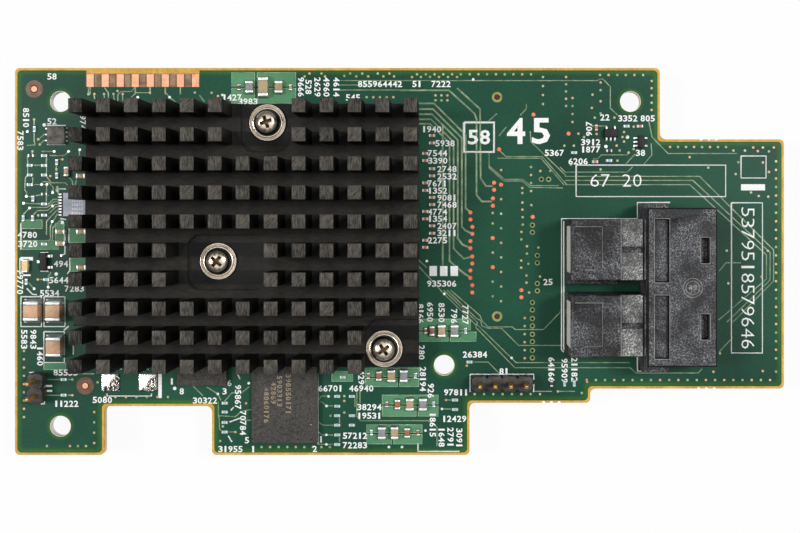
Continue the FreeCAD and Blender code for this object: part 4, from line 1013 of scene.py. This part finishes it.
def copies(mesh, places, turns=None):
    """The same mesh at several places on the board."""
    bm = bmesh.new()
    for (x, y), turn in zip(places, turns or [0] * len(places)):
        add_mesh(bm, mesh, Matrix.Translation((x, y, 0)) @ Matrix.Rotation(turn, 4, "Z"))
    return bm


def off_screw(point):
    """Distance of a point from the nearest screw's middle line."""
    return min(math.hypot(point.x - x, point.y - y) for x, y in SCREWS)


bm = copies(screw_mesh(), SCREWS, (0.35, 0.9, 0.6))
# painted shade: the head's outer rim is near black, and the cross recess takes the recess shade
for face in bm.faces:
    middle = face.calc_center_median()
    away = off_screw(middle)
    dome = DOME_TOP - 0.45 * (away / 1.78) ** 2
    face.material_index = 1 if away > 1.8 else 2 if 7 < middle.z < dome - 0.1 else 0
piece("screws_dressed", bm, [NICKEL, RIM_SHADE, RECESS], ("heat_sink_screws",), 35)

bm = spun([(1.35, 6.5), (1.38, 6.47), (2.9, 6.47), (3.0, 6.57), (3.0, 6.87), (2.96, 6.94), (2.86, 6.95),
           (2.78, 6.88), (2.55, 6.86), (2.48, 6.92), (2.4, WASHER_TOP), (2.28, WASHER_TOP), (2.2, 6.9),
           (1.38, 6.9), (1.35, 6.85), (1.35, 6.5)])
bm = copies(mesh_of("washer", bm), SCREWS)
# painted highlight on the washer's two lips, painted shade inside, under the head
for face in bm.faces:
    away = off_screw(face.calc_center_median())
    face.material_index = 1 if 2.2 < away < 2.5 or 2.84 < away < 3.0 else 2 if away < 2.2 else 0
piece("washers_dressed", bm, [RING, LIP_HIGHLIGHT, RIM_SHADE], ("heat_sink_washers",), 35)

bm = spun([(0.6, SURFACE - 0.01), (0.62, SURFACE + 0.015), (0.86, SURFACE + 0.015), (0.9, SURFACE - 0.01),
           (0.6, SURFACE - 0.01)], 28)
piece("peg_rings", copies(mesh_of("ring", bm), PEGS), [VIA_RING])

# painted shadow lines round the screw pockets
SINK_BASE_TOP = 7.065
bm = bmesh.new()
for run in ([(31.48, -1.2), (31.48, -6.9), (33.4, -8.85), (37.6, -8.85), (39.53, -6.9), (39.53, -4.0)],
            [(35.1, -22.43), (24.4, -22.43), (22.73, -24.2), (22.73, -29.7), (24.6, -31.52), (34.0, -31.52)],
            [(60, -36.3), (53.8, -36.3), (51.94, -38.2), (51.94, -43.8)]):
    strips(bm, [run], 0.13, SINK_BASE_TOP, 0.02)
piece("pocket_shadow_lines", bm, [SHADOW_LINE])


# two-ended parts

OLIVE, KHAKI, BROWN = tone(172, 156, 118), tone(188, 168, 128), tone(176, 106, 74)
GREY, PLUM, PINK = tone(150, 150, 152), tone(110, 76, 70), tone(190, 128, 100)
CYAN, DARK, BUFF = tone(170, 206, 206), tone(48, 46, 46), tone(208, 170, 134)
ROSE, LED_AMBER = tone(224, 178, 140), tone(252, 222, 158)


def fillet(bm, cap, way, reach, rise, finish=0):
    """Solder that climbs a metal end; way is the unit step away from the part."""
    lo, hi = cap
    out = Vector((*way, 0))
    a, b = Vector(lo), Vector(hi)
    b.z = lo.z + rise
    for i in (0, 1):
        if way[i] > 0:
            a[i], b[i] = hi[i], hi[i] + reach
        elif way[i] < 0:
            a[i], b[i] = lo[i] - reach, lo[i]
    verts = block(bm, a, b, finish=finish)
    far = [v for v in verts if v.co.z > (a.z + b.z) / 2 and (v.co - (a + b) / 2).dot(out) > 0]
    bmesh.ops.translate(bm, vec=-out * reach * 0.92, verts=far)


def pair_ends(bodies, ends):
    """Each body with its two ends and the way each end points."""
    left = list(ends)
    out = []
    for body in bodies:
        middle = (body[0] + body[1]) / 2
        near = sorted(left, key=lambda e: ((e[0] + e[1]) / 2 - middle).length)[:2]
        for end in near:
            left.remove(end)
        ways = []
        for end in near:
            step = (end[0] + end[1]) / 2 - middle
            ways.append((math.copysign(1, step.x), 0) if abs(step.x) > abs(step.y)
                        else (0, math.copysign(1, step.y)))
        out.append((body, near, ways))
    return out


def dress_two_ended(name, body_node, end_node, tint_of, radius=0.1):
    """Larger parts: ceramic body, two metal ends and the solder that climbs them."""
    parts = pair_ends(solids(body_node), solids(end_node))
    bm = bmesh.new()
    tinted(bm)
    for body, *_ in parts:
        block(bm, *body, min(radius, 0.08), 2, tint_of(body))
    piece(name, bm, [CERAMIC], (body_node,), 32)
    bm = bmesh.new()
    for _, near, ways in parts:
        for end, way in zip(near, ways):
            high = end[1].z - end[0].z
            block(bm, *end, min(radius, high * 0.22), 2)
            fillet(bm, end, way, min(0.45, 0.12 + high * 0.14), high * 0.72, 1)
    piece(name + "_ends", bm, [SOLDER, JOINT], (end_node,), 32)


PLAIN_ROW = [BROWN, BROWN, KHAKI, GREY, CYAN]
ROW_TINTS = {                   # y of a row of filter parts, and its tints from left to right
    2.38: [PLUM, GREY, KHAKI, OLIVE, BUFF], -38.73: PLAIN_ROW, -46.31: PLAIN_ROW, -51.11: PLAIN_ROW,
    -55.89: [CYAN, GREY, KHAKI, BROWN, BROWN]}
filter_solids = solids("filter_parts")


def middle_y(part):
    return (part[0].y + part[1].y) / 2


def filter_tint(body):
    """Tint of a filter part, by its row and its place in the row."""
    row_y = min(ROW_TINTS, key=lambda y: abs(y - middle_y(body)))
    left_sides = sorted(part[0].x for part in filter_solids if abs(middle_y(part) - row_y) < 0.5)
    return ROW_TINTS[row_y][left_sides.index(body[0].x)]


dress_two_ended("filter_row_parts", "filter_parts", "filter_part_ends", filter_tint)
dress_two_ended("small_caps", "small_capacitors", "small_capacitor_ends", lambda body: BUFF)
dress_two_ended("output_caps", "output_capacitors", "output_capacitor_ends", lambda body: ROSE, radius=0.16)


def dress_tiny(name, node, tint_of):
    """Tiny parts: ceramic middle, two bright ends and their lands."""
    bm = bmesh.new()
    tinted(bm)
    for lo, hi in solids(node):
        along = 0 if hi.x - lo.x > hi.y - lo.y else 1
        body = [Vector(lo), Vector(hi)]
        body[0][along] += 0.24
        body[1][along] -= 0.24
        body[1].z -= 0.03
        block(bm, *body, 0.03, 1, tint_of(lo))
        for side in (0, 1):
            end = [Vector(lo), Vector(hi)]
            end[1 - side][along] = (lo if side == 0 else hi)[along] + (0.26 if side == 0 else -0.26)
            block(bm, *end, 0.05, 1, None, 1)
            way = [0, 0]
            way[along] = 1 if side else -1
            fillet(bm, end, way, 0.16, 0.2, 2)
    piece(name, bm, [CERAMIC, SOLDER, JOINT], (node,), 32)


def resistor_tint(lo):
    """Most resistors are blue; the dark and the pink ones are known by their places."""
    def among(places):
        return any(abs(lo.x - x) < 0.9 and abs(lo.y - y) < 0.9 for x, y in places)
    if among([(-4.92, -9.16), (-2.66, -15.65), (82.94, -47.63), (92.67, -8.32)]):
        return DARK
    return PINK if among([(90.57, -4.48), (98.0, -4.14), (90.2, -10.12)]) else CYAN


dress_tiny("coupling_caps", "coupling_capacitors", lambda lo: PINK)
dress_tiny("left_resistors", "resistors_left", resistor_tint)
dress_tiny("low_resistors", "resistors_low", resistor_tint)
dress_tiny("right_resistors", "resistors_right", resistor_tint)
dress_tiny("decoupling_caps", "decoupling_capacitors", lambda lo: PINK)


# chips

for node in ("flash_chip", "backup_memory_chip", "memory_chips", "buffer_chip"):
    softened(node, [MOULDING], 0.05, 2)
softened("sense_chip", [COARSE], 0.05, 2)
for node in ("switch_transistor", "gate_chip", "level_chip", "regulator_chip"):
    softened(node, [CHIP_BLACK], 0.05, 2)

FLASH_TOP, LABEL_TOP = 2.77, 2.73
FLASH_NUMBERS = [(267.5, 404, 8), (274.6, 392, 5), (280.6, 390, 7), (289.3, 393, 9)]
FLASH_DOT = (311.7, 423.5)

bm = bmesh.new()
for px, py, count in FLASH_NUMBERS:
    number(bm, *spot(px, py), count, DOWN, 0.86, 0.76, FLASH_TOP, 0.008)
disc(bm, *spot(*FLASH_DOT), 0.14, FLASH_TOP - 0.005, FLASH_TOP + 0.005, 12)
piece("laser_marks", bm, [LASER])
bm = bmesh.new()
for line in range(5):
    number(bm, 3.2, -16.0 - 0.72 * line, 5, LEVEL, 0.46, 0.4, LABEL_TOP, 0.006)
piece("label_print", bm, [LEGEND])
softened("memory_joints", [JOINT], 0.05)
softened("package_leads", [SOLDER], 0.02, 1)
softened("buffer_label", [PAPER_LABEL], 0.02, 1)
dress_tiny("led_lens", "status_led", lambda lo: LED_AMBER)
softened("termination_arrays", [MOULDING], 0.05)


# port block, headers and stacking socket

def on_step(face):
    """The insert's lower step next to the collar is paler."""
    middle = face.calc_center_median()
    return 1 if 93.4 < middle.x < 97.3 and middle.z > 9.9 and face.normal.z > 0.5 else 0


def on_rim(face):
    """The shell's bevelled rims get the painted shade."""
    return 1 if 0.25 < face.normal.z < 0.9 and face.calc_center_median().z > 10.5 else 0


softened("port_shell", [PORT, SHADOW_LINE], 0.12, 2, on_rim)
for side in ("upper", "lower"):
    softened("port_insert_" + side, [PORT_DARK, PORT_PALE], 0.08, 2, on_step)
    softened("port_wafer_" + side, [WAFER], 0.03, 1)
    softened("port_contacts_" + side, [GOLD], 0.02, 1)

# painted highlight lines along the port block's edges and painted shadow lines in its corners, its mould
# mark, and the latch keepers under its windows
PORT_TOP, INSERT_TOP = 11.07, 10.57
PORT_ROWS = (-24.8, -37.1)      # middle of each port
MARK_X, MARK_Y = 104.9, -30.95
WINDOW_FLOOR = 9.72


def edged(bm, x0, x1, y0, y1, top, bottom):
    """Painted highlight line round a pocket and a painted shadow line in its corner."""
    strips(bm, [frame_run(x0, y0, x1, y1)], 0.17, top, 0.02)
    strips(bm, [frame_run(x0 + 0.12, y0 + 0.12, x1 - 0.12, y1 - 0.12)], 0.3, bottom, 0.03, 1)


bm = bmesh.new()
for y in PORT_ROWS:
    edged(bm, 98.73, 101.2, y - 5.35, y + 5.0, PORT_TOP, PORT_TOP - 0.8)
    edged(bm, 106.17, 107.7, y - 2.25, y + 2.0, PORT_TOP, WINDOW_FLOOR)
    inset_edge = [(86.0, y + 3.7), (90.4, y + 3.7), (90.4, y - 3.3), (87.6, y - 3.3)]
    strips(bm, [inset_edge], 0.12, INSERT_TOP, 0.02)
    strips(bm, [[(93.44, y - 4.9), (93.44, y + 4.9)]], 0.12, INSERT_TOP, 0.02)
    # painted shadow line where the insert's step meets the collar
    strips(bm, [[(97.2, y - 4.9), (97.2, y + 4.9)]], 0.4, INSERT_TOP - 0.5, 0.03, 1)
# the mould mark's two rings and its digits take the painted highlight colour
for r in (1.55, 1.1):
    turns = [i * math.tau / 28 for i in range(29)]
    ring = [(MARK_X + r * math.cos(turn), MARK_Y + r * math.sin(turn)) for turn in turns]
    strips(bm, [ring], 0.12, PORT_TOP, 0.02)
number(bm, MARK_X, MARK_Y, 2, LEVEL, 0.9, 0.72, PORT_TOP, 0.03)
piece("port_edges", bm, [EDGE_HIGHLIGHT, SHADOW_LINE])
bm = bmesh.new()
for y in PORT_ROWS:
    block(bm, (105.7, y - 2.7, 8.5), (108.0, y + 2.4, 9.7), 0.15, 2)
piece("latch_keepers", bm, [PORT_DARK], smooth=32)
softened("port_tails", [JOINT], 0.1)
for name in ("sense", "jumper"):
    softened(name + "_header_body", [HEADER], 0.08, 2)
    softened(name + "_header_pins", [GOLD], 0.05, 2)
softened("header_solder", [JOINT], 0.12)
softened("solder_lands", [LIT_AND_SHADED_SOLDER], 0.1, 2)
softened("edge_contacts", [COPPER], 0.015, 1)
softened("stack_housing", [STACK], 0.12, 2)
softened("stack_contacts", [GOLD], 0.03, 1)


# floor, light

FLOOR_PLACE = (0.057, -0.027, -0.00502)
bm = bmesh.new()
bmesh.ops.create_grid(bm, x_segments=1, y_segments=1, size=2.5, matrix=Matrix.Translation(FLOOR_PLACE))
paper = mesh_of("paper", bm)
paper.materials.append(floor_finish().material)
floor = bpy.data.objects.new("floor", paper)
bpy.context.scene.collection.objects.link(floor)


def soft_box(name, place, aim, size, watts):
    """Square lamp that looks at aim."""
    lamp = bpy.data.lights.new(name, "AREA")
    lamp.shape, lamp.size, lamp.energy = "SQUARE", size, watts
    thing = bpy.data.objects.new(name, lamp)
    thing.location = place
    thing.rotation_euler = (Vector(aim) - Vector(place)).to_track_quat("-Z", "Y").to_euler()
    bpy.context.scene.collection.objects.link(thing)


soft_box("left_lamp", (-0.9, 0.06, 1.3), (0.05, -0.02, 0), 0.35, 11.0)
soft_box("right_lamp", (1.0, 0.3, 1.6), (0.06, -0.02, 0), 0.4, 18.0)
world = bpy.data.worlds.new("studio")
world.use_nodes = True
sky = world.node_tree
sky.nodes["Background"].inputs["Color"].default_value = (1, 1, 1, 1)
light_path = sky.nodes.new("ShaderNodeLightPath")
parts = sky.nodes.new("ShaderNodeSeparateXYZ")
sky.links.new(sky.nodes.new("ShaderNodeTexCoord").outputs["Generated"], parts.inputs[0])
# what metal shows: white above, dusk at the sides
overhead = sky.nodes.new("ShaderNodeMapRange")
overhead.inputs[1].default_value, overhead.inputs[2].default_value = 0.6, 0.97
overhead.inputs[3].default_value, overhead.inputs[4].default_value = 0.1, 1.0
sky.links.new(parts.outputs[2], overhead.inputs[0])
level = sky.nodes.new("ShaderNodeMix")
level.inputs[2].default_value = 0.22
sky.links.new(light_path.outputs["Is Glossy Ray"], level.inputs[0])
sky.links.new(overhead.outputs[0], level.inputs[3])
strength = sky.nodes.new("ShaderNodeMath")
strength.operation = "MAXIMUM"
sky.links.new(level.outputs[0], strength.inputs[0])
sky.links.new(light_path.outputs["Is Camera Ray"], strength.inputs[1])
sky.links.new(strength.outputs[0], sky.nodes["Background"].inputs["Strength"])
bpy.context.scene.world = world
bpy.context.scene.view_settings.view_transform = "Standard"
